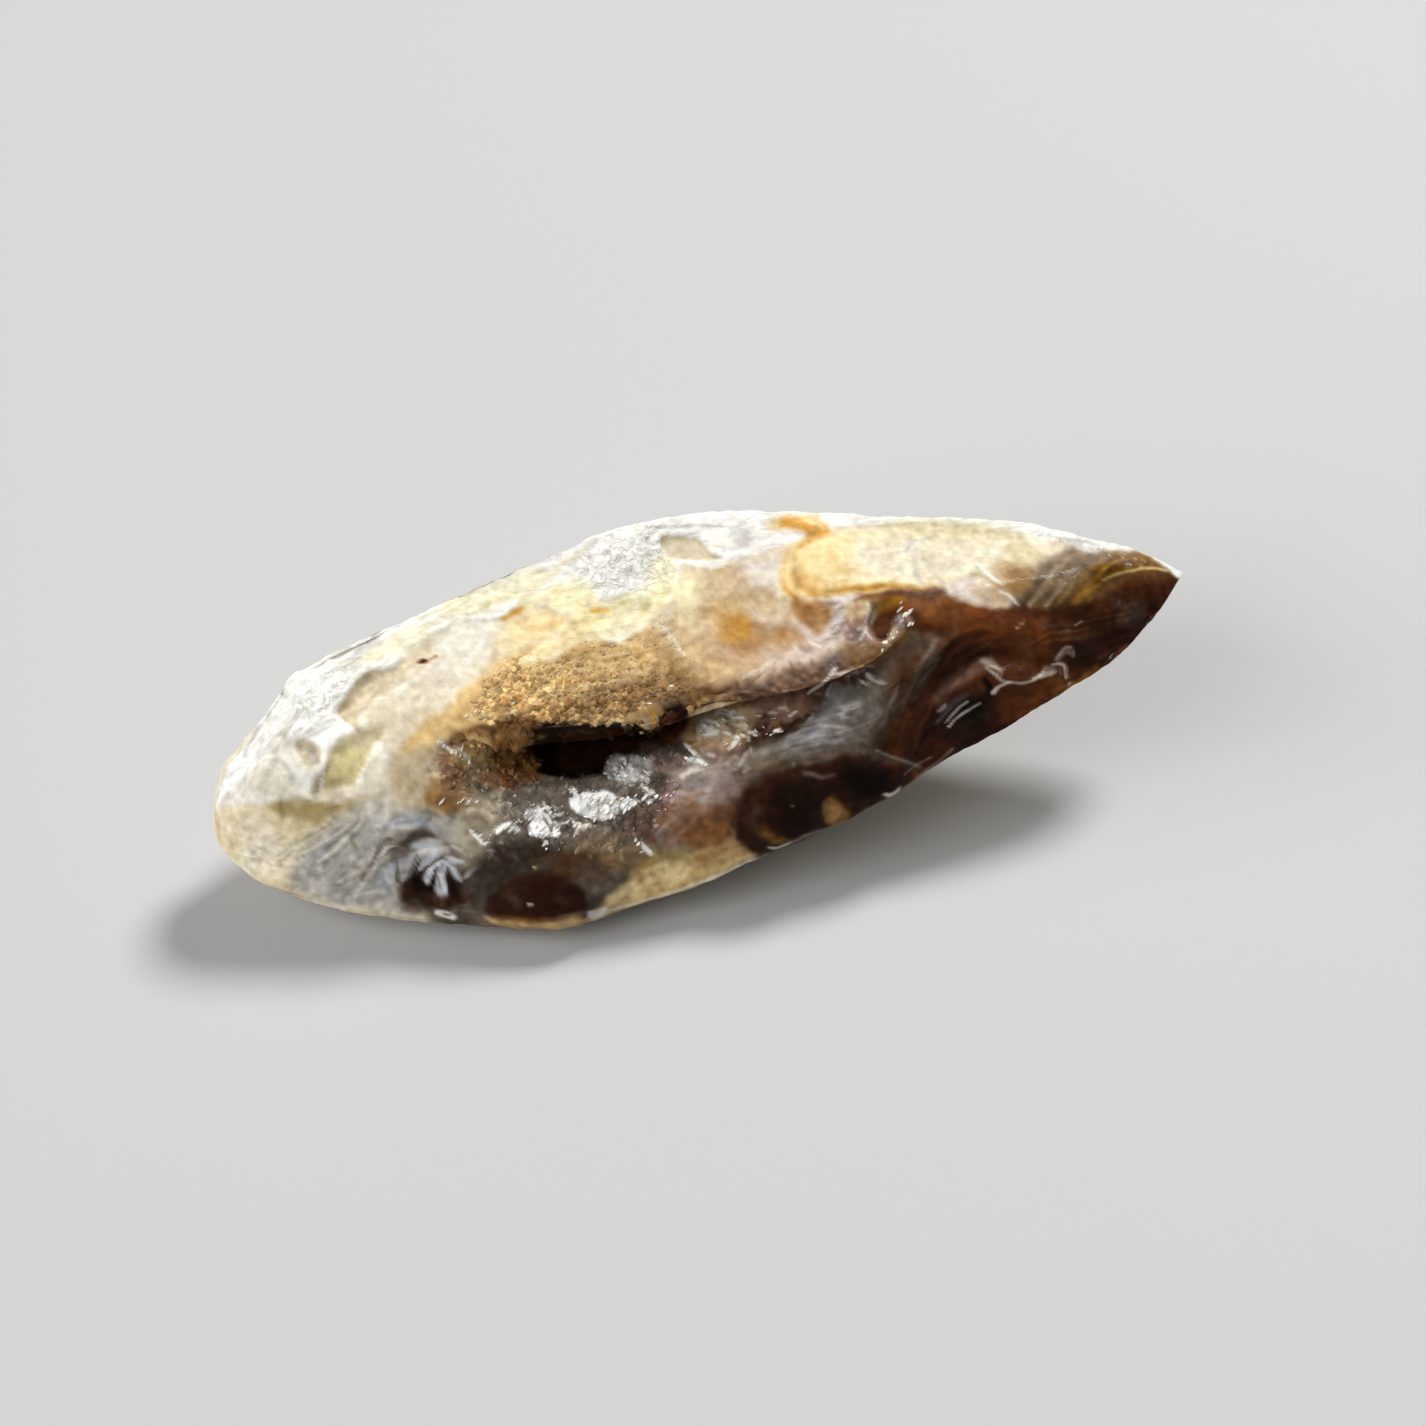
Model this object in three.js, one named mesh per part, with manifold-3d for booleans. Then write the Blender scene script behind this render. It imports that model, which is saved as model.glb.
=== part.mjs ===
// Agate specimen: a boat-shaped fragment broken from a small geode. It lies on its convex rind with
// the broken face turned up and forward, its blunt end low and its pointed tip raised. A slit-like
// hollow in the broken face is lined with a crust of quartz crystals. Millimetres, +X along the stone
// from the blunt end to the tip, +Y to the rind's side, +Z up, the ground at Z = 0.
import * as THREE from "three";
import { mergeVertices } from "three/addons/utils/BufferGeometryUtils.js";
import Module from "manifold-3d";

// Driving dimensions. The stone hangs on long lines that run from the blunt end to the tip, each
// point [x, y, z].
const BLUNT_END = [-24.1, 0.6, 5.2];
const TIP = [23.9, 1.1, 9.8];
// Top edge, where the rind meets the broken face.
const RIM = [
  [-23.5, 1.0, 6.8], [-22.4, 1.6, 8.4], [-20.1, 2.8, 10.5], [-18, 3.5, 11.5], [-14, 4.3, 12.4],
  [-9.9, 5.4, 13.1], [-5.9, 6.0, 13.6], [-1.9, 6.4, 13.9], [2, 6.3, 14], [5.8, 5.6, 13.8],
  [9.5, 4.7, 13.4], [13.4, 4.2, 12.9], [17.3, 3.5, 12.2], [20, 2.6, 11.4], [22.4, 1.8, 10.6],
];
// Edge of the ledge that hangs over the hollow, and the crease that carries it on to both ends.
const LIP = [
  [-22.5, -0.7, 6.9], [-20.1, -1.2, 8.2], [-17.3, -1.6, 9.0], [-13.5, -1.8, 9.4],
  [-9.8, -2.2, 9.5], [-6.1, -2.7, 9.5], [-3.2, -2.7, 9.6], [-0.2, -2.4, 9.9], [3.5, -2.7, 10.0],
  [6.5, -2.3, 10.2], [9.4, -1.2, 10.8], [12.1, -0.5, 11.1], [16.1, -0.1, 11.0], [19.9, 0.7, 10.8],
  [22.1, 1.1, 10.4],
];
// Lower front edge, where the broken face ends at the rind again.
const EDGE = [
  [-24.0, 0.1, 4.2], [-23.4, -0.8, 3.5], [-22.3, -1.6, 2.8], [-19.9, -3.0, 2.0],
  [-16.4, -4.4, 1.5], [-12.8, -5.5, 1.2], [-9.2, -6.6, 1.1], [-7.2, -6.5, 1.2], [-5.2, -6.3, 1.5],
  [-2.3, -6.3, 2.0], [0.7, -6.0, 2.8], [3.7, -5.8, 3.5], [6.7, -5.4, 4.3], [10, -4.5, 5.4],
  [13.1, -3.9, 6.2], [16.3, -3.1, 7.1], [19.6, -2.1, 8.1], [22.3, -0.3, 9.0],
];
// Underside of the rind. Between this line and the lower edge it bellies just below the ground,
// which cuts the rest spot.
const KEEL = [
  [-23.5, 1.0, 3.2], [-21.2, 1.8, 1.9], [-17, 2.9, 1.0], [-12, 3.5, 0.5], [-7, 3.7, 0.1],
  [-2, 3.7, 0.0], [2.4, 3.5, 0.25], [6, 3.1, 1.4], [10, 2.7, 3.1], [14, 2.3, 4.8],
  [18, 1.9, 6.5], [21.6, 1.5, 8.1],
];
// Rearmost line of the rind.
const BACK = [
  [-23.3, 2.6, 6.0], [-20.6, 4.9, 6.2], [-16, 6.8, 6.5], [-10, 8.2, 6.9], [-4, 8.8, 7.3],
  [2, 8.7, 7.7], [7, 7.8, 8.3], [12, 6.6, 9.0], [16.5, 5.2, 9.6], [20.5, 3.5, 10.0],
  [22.7, 2.3, 10.0],
];
// The hollow: how far it reaches in and how tall its mouth is, as [x, depth] and [x, height].
const HOLLOW_DEPTH = [
  [-24.1, 0], [-16, 0], [-14, 0.3], [-11.5, 1.3], [-9.5, 2.8], [-8, 4.2], [-5, 5.0], [-2.5, 4.4],
  [-0.5, 2.8], [1.5, 1.6], [4, 1.0], [6.5, 0.5], [9, 0], [23.9, 0],
];
const MOUTH_HEIGHT = [
  [-24.1, 0.2], [-22, 1.0], [-15, 2.1], [-11, 2.5], [-7, 2.6], [-4, 2.5], [-2, 2.2], [0, 2.0],
  [5, 1.8], [12, 1.6], [20, 0.9], [23.9, 0.1],
];
// How far the rind laps over the broken face, as a share of the way from rim to lip, at each x.
const RIND_LAP = [
  [-24.1, 0.95], [-20, 0.62], [-17.5, 0.54], [-14, 0.4], [-11, 0.42], [-9.2, 0.3], [-7, 0.43],
  [-4.5, 0.52], [-2.4, 0.57], [-1.4, 0.46], [-0.6, 0.22], [2.5, 0.3], [4.5, 0.1], [23.9, 0.06],
];
const RIND_STEP = 0.45;
// How far the two broken facets stand out between their edges, as [x, bulge].
const UPPER_BULGE = [
  [-24.1, 0.9], [-16, 0.9], [-9, 0.1], [-3, -0.35], [3, 0], [8, 0.5], [14, 0.35], [23.9, 0.3],
];
const LOWER_BULGE = [[-24.1, 1.0], [-10, 1.0], [0, 0.8], [8, 0.5], [23.9, 0.5]];
// Share of roundness of the broken face, as [x, share]: its two facets run into one round face at
// the blunt end, meet at the ledge in the middle and at a soft crease towards the tip.
const FACE_ROUNDNESS = [[-24.1, 1], [-15, 1], [-11, 0], [8, 0], [12, 0.5], [23.9, 0.6]];
// The ledge over the hollow has a blunt front.
const LEDGE_THICKNESS = 0.5;
// Pits and domes of the broken face: [x, way, radius along x, radius along way, height].
const PITS_AND_DOMES = [
  [-17.5, 0.75, 2.6, 0.3, -0.35], [-20.5, 2.2, 2.2, 0.3, 0.3], [-15.6, 2.55, 1.6, 0.22, -0.35],
  [2.5, 0.62, 2.4, 0.22, -0.45], [6.6, 0.8, 1.4, 0.16, -0.5], [-0.8, 0.4, 1.2, 0.12, 0.25],
  [-9.3, 2.9, 2.2, 0.12, 0.3], [-3.2, 2.68, 2.2, 0.16, -0.3], [1.8, 2.69, 2.1, 0.2, 0.35],
  [6.2, 2.5, 1.6, 0.26, 0.25], [10.5, 2.3, 2, 0.4, -0.35], [18.3, 0.16, 0.8, 0.12, -0.4],
];
// Faceting: stations along the stone, and steps round it on each of its four stretches.
const STATIONS = 64;
const UPPER_STEPS = 12;
const HOLLOW_STEPS = 11;
const LOWER_STEPS = 9;
const RIND_STEPS = 15;
const CURVE_STEPS = 400;
// The crust that lines the hollow and laps over its sill.
const CRUST_FROM_X = -12.6;
const CRUST_TO_X = 4.2;
const CRUST_THICKNESS = 0.5;
const CRUST_GAP = 0.3;
const CRUST_BORDER = 0.3;
const CRUST_END_WIDTH = 0.3;
const APRON_STEPS = 4;
const POINT_HEIGHT = 0.6;
const CRYSTALS = 30;
const CRYSTAL_RADIUS = 0.4;
const CRYSTAL_HEIGHT = 0.9;
const CRYSTAL_SINK = 0.08;
const TEETH = 11;
const TOOTH_RADIUS = 0.4;
const TOOTH_HEIGHT = 0.9;
const TEETH_FROM_X = -9.2;
const TEETH_TO_X = -1.8;
// Relief of the surface: the size and height of its lumps, the ripples of the broken face round
// their centre near the tip, and the grain beside the hollow.
const LUMP_SIZE = 3.1;
const LUMP_HEIGHT = 0.3;
const KNOB_SIZE = 1.4;
const KNOB_HEIGHT = 0.15;
const RIPPLE_CENTRE = { x: 12.6, z: 4.2 };
const RIPPLE_LENGTH = 2.3;
const RIPPLE_HEIGHT = 0.17;
const FLOW_HEIGHT = 0.2;
const GRAIN_HEIGHT = 0.16;

const wasm = await Module();
wasm.setup();

// Repeatable noise between -1 and 1 that changes smoothly over one unit.
function hash(i, j, k) {
  const s = Math.sin(i * 127.1 + j * 311.7 + k * 74.7) * 43758.5453;
  return s - Math.floor(s);
}

function noise(x, y, z) {
  const [i, j, k] = [Math.floor(x), Math.floor(y), Math.floor(z)];
  const [u, v, w] = [x - i, y - j, z - k].map((t) => t * t * (3 - 2 * t));
  let sum = 0;
  for (const [a, b, c] of [[0, 0, 0], [1, 0, 0], [0, 1, 0], [1, 1, 0],
    [0, 0, 1], [1, 0, 1], [0, 1, 1], [1, 1, 1]]) {
    const weight = (a ? u : 1 - u) * (b ? v : 1 - v) * (c ? w : 1 - w);
    sum += weight * hash(i + a, j + b, k + c);
  }
  return 2 * sum - 1;
}

// Eased step from 0 at the one value to 1 at the other, whichever is the larger.
function smooth(from, to, value) {
  const t = THREE.MathUtils.clamp((value - from) / (to - from), 0, 1);
  return t * t * (3 - 2 * t);
}

// A smooth curve through knots [x, y, z] of rising x, as a function of x that gives its point.
function curveThrough(knots) {
  const curve = new THREE.CatmullRomCurve3(
    knots.map((knot) => new THREE.Vector3(...knot)), false, "centripetal");
  const path = curve.getPoints(CURVE_STEPS);
  return (x) => {
    const after = Math.min(Math.max(path.findIndex((p) => p.x >= x), 1), CURVE_STEPS);
    const [a, b] = [path[after - 1], path[after]];
    const t = THREE.MathUtils.clamp((x - a.x) / Math.max(b.x - a.x, 1e-9), 0, 1);
    return a.clone().lerp(b, t);
  };
}

// A long line of the stone, as a function of x that gives its place [y, z] in the section.
function lineOf(points) {
  const curve = curveThrough([BLUNT_END, ...points, TIP]);
  return (x) => {
    const { y, z } = curve(x);
    return new THREE.Vector2(y, z);
  };
}

// A value given by knots [x, value], as a function of x. It never falls below its least knot.
function valueOf(knots) {
  const curve = curveThrough(knots.map(([x, value]) => [x, value, 0]));
  const least = Math.min(...knots.map(([, value]) => value));
  return (x) => Math.max(least, curve(x).y);
}

const rim = lineOf(RIM);
const lip = lineOf(LIP);
const edge = lineOf(EDGE);
const keel = lineOf(KEEL);
const back = lineOf(BACK);
const hollowDepth = valueOf(HOLLOW_DEPTH);
const mouthHeight = valueOf(MOUTH_HEIGHT);
const rindLap = valueOf(RIND_LAP);
const upperBulge = valueOf(UPPER_BULGE);
const lowerBulge = valueOf(LOWER_BULGE);
const faceRoundness = valueOf(FACE_ROUNDNESS);
const APRON_END = 2 + APRON_STEPS / LOWER_STEPS;
const CRUST_MIDDLE = 1.6;

// The bottom of the hollow's mouth, a little way down the lower facet from the lip.
function sill(x) {
  const [top, bottom] = [lip(x), edge(x)];
  const reach = bottom.clone().sub(top);
  return top.add(reach.setLength(Math.min(mouthHeight(x), reach.length() * 0.45)));
}

// A straight facet between two edges, bulged outward.
function facet(from, to, t, bulge) {
  const run = to.clone().sub(from);
  const out = new THREE.Vector2(run.y, -run.x).normalize();
  const swell = bulge * Math.min(1, run.length() / 8) * 4 * t * (1 - t);
  return from.clone().add(run.multiplyScalar(t)).addScaledVector(out, swell);
}

// The hollow's outline from lip to sill: down the ledge's blunt front, then round a pocket that is
// a little taller inside than its mouth.
function pocket(x, t) {
  const [ledge, bottom] = [lip(x), sill(x)];
  const front = LEDGE_THICKNESS * smooth(0.2, 3, hollowDepth(x));
  const top = ledge.clone().lerp(bottom, front / Math.max(ledge.distanceTo(bottom), 0.2));
  const turn = 1 / HOLLOW_STEPS;
  if (t < turn && front > 0) return ledge.lerp(top, t / turn);
  const middle = top.clone().add(bottom).multiplyScalar(0.5);
  const half = top.sub(middle);
  const angle = front > 0 ? (Math.PI * (t - turn)) / (1 - turn) : Math.PI * t;
  const inward = Math.pow(Math.sin(angle), 0.8) * hollowDepth(x);
  const swell = 1 + 0.22 * Math.sin(angle) * Math.min(1, hollowDepth(x) / 3);
  const skew = -Math.sin(angle) * 0.12 * hollowDepth(x);
  return middle.add(half.multiplyScalar(Math.cos(angle) * swell))
    .add(new THREE.Vector2(inward, skew));
}

// The rind's outline, round the underside and back from the lower edge to the rim.
function shell(x, t) {
  const points = [edge(x), keel(x), back(x), rim(x)];
  return new THREE.SplineCurve(points).getPoint(t);
}

// A point of the plain stone. way runs once round it: 0 to 1 from rim to lip, to 2 through the
// hollow to the sill, to 3 down to the lower edge and to 4 round the rind.
function plain(x, way) {
  const stretch = Math.min(3, Math.floor(way));
  const t = way - stretch;
  const at = [
    () => facet(rim(x), lip(x), t, upperBulge(x)),
    () => pocket(x, t),
    () => facet(sill(x), edge(x), t, lowerBulge(x)),
    () => shell(x, t),
  ][stretch]();
  if (way < 3) {
    const round = new THREE.SplineCurve([rim(x), lip(x), edge(x)]).getPoint(way / 3);
    at.lerp(round, faceRoundness(x));
  }
  return new THREE.Vector3(x, at.x, at.y);
}

// Outward direction of the plain stone, evened out over its edges.
function outward(x, way) {
  const [dx, dw] = [0.05, 0.03];
  const [x0, x1] = [Math.max(x - dx, BLUNT_END[0] + 1e-3), Math.min(x + dx, TIP[0] - 1e-3)];
  const along = plain(x1, way).sub(plain(x0, way));
  const round = plain(x, (way + dw) % 4).sub(plain(x, (way - dw + 4) % 4));
  return round.cross(along).normalize();
}

// The crust's width as a share of its full width: it narrows towards both ends.
function crustWidth(x) {
  const [start, end] = [CRUST_FROM_X - 0.5, CRUST_TO_X + 0.5];
  const ends = smooth(start, start + 4.5, x) * smooth(end, end - 5.5, x);
  return THREE.MathUtils.lerp(CRUST_END_WIDTH, 1, ends);
}

// Share of the crust's cover at a place: 1 under the crust, 0 well clear of it.
function cover(x, way) {
  const along = smooth(CRUST_FROM_X - 1.2, CRUST_FROM_X, x) * smooth(CRUST_TO_X + 1.2, CRUST_TO_X, x);
  const across = CRUST_MIDDLE + (way - CRUST_MIDDLE) / crustWidth(x);
  return along * smooth(1.01, 1 + 1 / HOLLOW_STEPS, across) * smooth(APRON_END + 0.15, APRON_END, across);
}

// The crust's thickness: full in the hollow, thin at its borders.
function crustThickness(x, way) {
  const ends = smooth(CRUST_FROM_X, CRUST_FROM_X + 2, x) * smooth(CRUST_TO_X, CRUST_TO_X - 2, x);
  const sides = smooth(1.1, 1.35, way) * smooth(APRON_END, 2, way);
  return CRUST_THICKNESS * THREE.MathUtils.lerp(CRUST_BORDER, 1, ends * sides);
}

// Pits and domes of the broken face at a place.
function pitsAndDomes(x, way) {
  return PITS_AND_DOMES.reduce((sum, [x0, way0, rx, rw, height]) =>
    sum + height * Math.exp(-(((x - x0) / rx) ** 2) - ((way - way0) / rw) ** 2), 0);
}

// Relief of the rind, round the back and underside.
function lumps(p) {
  const lump = noise(p.x / LUMP_SIZE, p.y / LUMP_SIZE, p.z / LUMP_SIZE);
  const knob = noise(p.x / KNOB_SIZE, p.y / KNOB_SIZE, p.z / KNOB_SIZE);
  return LUMP_HEIGHT * lump + KNOB_HEIGHT * knob;
}

// Relief of the upper facet: the rind's lap with its scalloped step, and grain beside the hollow.
function upperRelief(p, way) {
  const reach = rindLap(p.x) + 0.05 * noise(p.x * 0.8, 3, 5);
  const lapped = smooth(reach + 0.05, reach - 0.05, way);
  const skin = lapped * (RIND_STEP * smooth(0, 0.08, way) + lumps(p) / 2);
  const beside = smooth(-15, -12, p.x) * smooth(3, 0, p.x) * (1 - lapped) * smooth(0, 0.2, way);
  return skin + GRAIN_HEIGHT * noise(p.x * 1.1, p.y * 1.1, 2) * beside + pitsAndDomes(p.x, way);
}

// Relief of the lower facet: rings of ripples towards the tip and flowing ridges at the blunt end.
function lowerRelief(p, way) {
  const rings = Math.hypot(p.x - RIPPLE_CENTRE.x, (p.z - RIPPLE_CENTRE.z) * 1.25);
  const ripple = RIPPLE_HEIGHT * Math.sin((2 * Math.PI * rings) / RIPPLE_LENGTH) * smooth(5, 8, p.x);
  const flow = FLOW_HEIGHT * noise(p.x / 2.2, 7, p.z / 1.5) * smooth(-5, -11, p.x);
  const between = smooth(2, 2.15, way) * smooth(3, 2.9, way);
  return between * (ripple + flow + lumps(p) / 2) + smooth(3, 2.95, way) * pitsAndDomes(p.x, way);
}

// Relief at a place, in millimetres along the outward direction. It dies out at both ends, and the
// hollow's own walls have none under their crust.
function relief(p, way) {
  const ends = smooth(BLUNT_END[0], BLUNT_END[0] + 1.5, p.x) * smooth(TIP[0], TIP[0] - 2.5, p.x);
  if (way >= 3) return ends * lumps(p) * smooth(3, 3.12, way) * smooth(4, 3.88, way);
  if (way >= 2) return ends * lowerRelief(p, way);
  return way > 1 ? 0 : ends * upperRelief(p, way);
}

// The agate's own surface, with the bed that the crust lies in.
function stone(x, way) {
  const at = plain(x, way);
  const rise = relief(at, way) - cover(x, way) * (CRUST_GAP + crustThickness(x, way));
  return at.addScaledVector(outward(x, way), rise);
}

// Steps of way round the stone, in order, without the last, which is the first again.
function stepsRound() {
  return [UPPER_STEPS, HOLLOW_STEPS, LOWER_STEPS, RIND_STEPS].flatMap((count, stretch) =>
    Array.from({ length: count }, (_, i) => stretch + i / count));
}

// x of a station: close together at the blunt end and at the tip.
function stationX(index) {
  const even = index / STATIONS;
  const eased = 0.45 * even + 0.55 * 0.5 * (1 - Math.cos(Math.PI * even));
  return THREE.MathUtils.lerp(BLUNT_END[0], TIP[0], eased);
}

// A ball of rings pulled along the stone, each ring laid on the stone's section.
function ballMesh(place) {
  const ways = stepsRound();
  const ball = new THREE.SphereGeometry(1, ways.length, STATIONS);
  const spots = ball.attributes.position;
  for (let row = 0; row <= STATIONS; row++) {
    const end = { 0: BLUNT_END, [STATIONS]: TIP }[row];
    for (let column = 0; column <= ways.length; column++) {
      const way = ways[(ways.length - column) % ways.length];
      const at = end ? new THREE.Vector3(...end) : place(stationX(row), way);
      spots.setXYZ(row * (ways.length + 1) + column, at.x, at.y, at.z);
    }
  }
  return ball;
}

// A closed three.js geometry as a solid that can be joined and cut.
function solidOf(geometry) {
  const bare = geometry.clone();
  bare.deleteAttribute("normal");
  bare.deleteAttribute("uv");
  const { index, attributes } = mergeVertices(bare, 1e-4);
  return new wasm.Manifold(new wasm.Mesh({
    numProp: 3,
    vertProperties: new Float32Array(attributes.position.array),
    triVerts: new Uint32Array(index.array),
  }));
}

// A solid as a named mesh with its material.
function meshOf(solid, name, color, roughness) {
  const { vertProperties, triVerts } = solid.getMesh();
  const geometry = new THREE.BufferGeometry()
    .setAttribute("position", new THREE.BufferAttribute(vertProperties, 3))
    .setIndex(new THREE.BufferAttribute(triVerts, 1));
  geometry.computeVertexNormals();
  const material = new THREE.MeshStandardMaterial({ color, roughness, metalness: 0 });
  const mesh = new THREE.Mesh(geometry, material);
  mesh.name = name;
  return mesh;
}

// The agate with its rest spot ground flat at Z = 0.
function agate() {
  const ground = new THREE.BoxGeometry(60, 40, 4).translate(0, 0, -2);
  return solidOf(ballMesh(stone)).subtract(solidOf(ground));
}

// Height of the small crystal point at a place of the crust's grid. Every other place carries one.
function pointHeight(row, column, x, way) {
  if ((row + column) % 2) return 0;
  const room = smooth(0, 0.45, crustThickness(x, way)) * Math.min(1, mouthHeight(x) / 2.2);
  return POINT_HEIGHT * room * (0.4 + 0.6 * hash(row, column, 0));
}

// The crust's sheet: a thin slab bent through the hollow on the stone's own stations.
function crustSheet() {
  const rows = Array.from({ length: STATIONS + 1 }, (_, i) => stationX(i))
    .filter((x) => x >= CRUST_FROM_X && x <= CRUST_TO_X);
  const [first, last] = [1 + 1.5 / HOLLOW_STEPS, APRON_END - 0.5 / LOWER_STEPS];
  const ways = stepsRound().filter((way) => way > first && way < last);
  const slab = new THREE.BoxGeometry(1, 1, 1, rows.length - 1, ways.length - 1, 1);
  const spots = slab.attributes.position;
  for (let i = 0; i < spots.count; i++) {
    const row = Math.round((spots.getX(i) + 0.5) * (rows.length - 1));
    const column = Math.round((0.5 - spots.getY(i)) * (ways.length - 1));
    const x = rows[row];
    const way = CRUST_MIDDLE + (ways[column] - CRUST_MIDDLE) * crustWidth(x);
    const top = crustThickness(x, way) + pointHeight(row, column, x, way);
    const up = CRUST_GAP + (spots.getZ(i) > 0 ? top : 0);
    const at = stone(x, way).addScaledVector(outward(x, way), up);
    spots.setXYZ(i, at.x, at.y, at.z);
  }
  return solidOf(slab);
}

// One six-sided crystal point that stands on the crust.
function crystal(x, way, radius, height, lean) {
  const point = new THREE.ConeGeometry(radius, height, 6).translate(0, height / 2 - CRYSTAL_SINK, 0);
  const up = outward(x, way).add(lean).normalize();
  point.applyQuaternion(new THREE.Quaternion().setFromUnitVectors(new THREE.Vector3(0, 1, 0), up));
  const foot = stone(x, way).addScaledVector(outward(x, way), CRUST_GAP + crustThickness(x, way));
  return solidOf(point.translate(foot.x, foot.y, foot.z));
}

// The druse: the crust with its taller crystals, and the row of teeth behind the ledge.
function druse() {
  let crust = crustSheet();
  for (let i = 0; i < CRYSTALS; i++) {
    const x = THREE.MathUtils.lerp(CRUST_FROM_X + 2, CRUST_TO_X - 2, (i + 0.5) / CRYSTALS);
    const way = 1.25 + 0.8 * ((i * 0.618) % 1);
    const lean = new THREE.Vector3(hash(i, 1, 0) - 0.5, hash(i, 2, 0) - 0.5, hash(i, 3, 0) - 0.5);
    const room = THREE.MathUtils.clamp(hollowDepth(x) / 4, 0.4, 1);
    const size = (0.75 + 0.6 * hash(i, 4, 0)) * room;
    crust = crust.add(crystal(x, way, CRYSTAL_RADIUS * size, CRYSTAL_HEIGHT * size, lean));
  }
  const down = new THREE.Vector3(0, -0.8, -0.3);
  for (let i = 0; i < TEETH; i++) {
    const x = THREE.MathUtils.lerp(TEETH_FROM_X, TEETH_TO_X, i / (TEETH - 1));
    const size = 0.9 + 0.5 * hash(i, 8, 0);
    crust = crust.add(crystal(x, 1 + 2.6 / HOLLOW_STEPS, TOOTH_RADIUS * size, TOOTH_HEIGHT * size, down));
  }
  // A crystal's foot can close off a dip under it: the outermost skin alone is kept, so it is solid.
  return crust.decompose().reduce((most, next) => (next.volume() > most.volume() ? next : most));
}

const specimen = new THREE.Group();
specimen.add(
  meshOf(agate(), "agate_body", 0xcdbda0, 0.4),
  meshOf(druse(), "quartz_druse", 0xa98a5c, 0.25),
);
// The frame's origin is the middle of the specimen's footprint.
const footprint = new THREE.Box3().setFromObject(specimen);
const middle = footprint.getCenter(new THREE.Vector3());
specimen.position.set(-middle.x, -middle.y, 0);

export default specimen;
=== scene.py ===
import bpy
import numpy as np
from mathutils import Matrix, Vector


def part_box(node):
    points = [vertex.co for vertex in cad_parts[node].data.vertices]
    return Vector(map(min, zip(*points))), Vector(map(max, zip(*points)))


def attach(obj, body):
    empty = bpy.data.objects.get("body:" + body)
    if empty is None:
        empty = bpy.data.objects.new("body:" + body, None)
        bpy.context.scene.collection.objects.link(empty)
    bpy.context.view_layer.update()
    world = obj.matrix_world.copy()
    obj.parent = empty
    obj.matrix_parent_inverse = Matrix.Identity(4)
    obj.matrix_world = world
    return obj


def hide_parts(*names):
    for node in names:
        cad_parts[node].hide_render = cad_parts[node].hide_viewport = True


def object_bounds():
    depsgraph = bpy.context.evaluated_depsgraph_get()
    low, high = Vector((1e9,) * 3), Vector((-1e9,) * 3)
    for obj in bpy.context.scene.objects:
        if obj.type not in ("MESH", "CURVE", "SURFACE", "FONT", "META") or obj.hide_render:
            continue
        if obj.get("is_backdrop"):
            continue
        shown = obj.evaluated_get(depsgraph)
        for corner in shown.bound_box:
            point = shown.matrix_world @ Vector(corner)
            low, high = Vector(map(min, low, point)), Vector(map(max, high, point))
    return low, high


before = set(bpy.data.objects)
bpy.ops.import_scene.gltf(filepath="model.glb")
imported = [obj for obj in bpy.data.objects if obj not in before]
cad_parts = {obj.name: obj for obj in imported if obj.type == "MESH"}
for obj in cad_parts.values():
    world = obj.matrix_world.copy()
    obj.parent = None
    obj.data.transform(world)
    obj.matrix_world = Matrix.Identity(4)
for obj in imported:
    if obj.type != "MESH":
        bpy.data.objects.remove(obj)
cad_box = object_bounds()

# The stone: one fragment broken out of a small geode. Banded chalcedony filled it from the wall
# inwards, a white crackled rind is what is left of the wall, and the break runs through an open
# slit. Lengths are millimetres until the mesh is made, and MAKER_SHIFT takes them to the frame.
MM = 0.001
MAKER_SHIFT = np.array([0.1, -0.9875, 0.0])
BLUNT_END = (-24.1, 0.6, 5.2)
TIP = (23.9, 1.1, 9.8)
RIM = [
    (-23.5, 1.0, 6.8), (-22.4, 1.6, 8.4), (-20.1, 2.8, 10.5), (-18, 3.5, 11.5), (-14, 4.3, 12.4),
    (-9.9, 5.4, 13.1), (-5.9, 6.0, 13.6), (-1.9, 6.4, 13.9), (2, 6.3, 14), (5.8, 5.6, 13.8),
    (9.5, 4.7, 13.4), (13.4, 4.2, 12.9), (17.3, 3.5, 12.2), (20, 2.6, 11.4), (22.4, 1.8, 10.6),
]
LIP = [
    (-22.5, -0.7, 6.9), (-20.1, -1.2, 8.2), (-17.3, -1.6, 9.0), (-13.5, -1.8, 9.4),
    (-9.8, -2.2, 9.5), (-6.1, -2.7, 9.5), (-3.2, -2.7, 9.6), (-0.2, -2.4, 9.9), (3.5, -2.7, 10.0),
    (6.5, -2.3, 10.2), (9.4, -1.2, 10.8), (12.1, -0.5, 11.1), (16.1, -0.1, 11.0),
    (19.9, 0.7, 10.8), (22.1, 1.1, 10.4),
]
EDGE = [
    (-24.0, 0.1, 4.2), (-23.4, -0.8, 3.5), (-22.3, -1.6, 2.8), (-19.9, -3.0, 2.0),
    (-16.4, -4.4, 1.5), (-12.8, -5.5, 1.2), (-9.2, -6.6, 1.1), (-7.2, -6.5, 1.2),
    (-5.2, -6.3, 1.5), (-2.3, -6.3, 2.0), (0.7, -6.0, 2.8), (3.7, -5.8, 3.5), (6.7, -5.4, 4.3),
    (10, -4.5, 5.4), (13.1, -3.9, 6.2), (16.3, -3.1, 7.1), (19.6, -2.1, 8.1), (22.3, -0.3, 9.0),
]
KEEL = [
    (-23.5, 1.0, 3.2), (-21.2, 1.8, 1.9), (-17, 2.9, 1.0), (-12, 3.5, 0.5), (-7, 3.7, 0.1),
    (-2, 3.7, 0.0), (2.4, 3.5, 0.25), (6, 3.1, 1.4), (10, 2.7, 3.1), (14, 2.3, 4.8),
    (18, 1.9, 6.5), (21.6, 1.5, 8.1),
]
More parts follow.
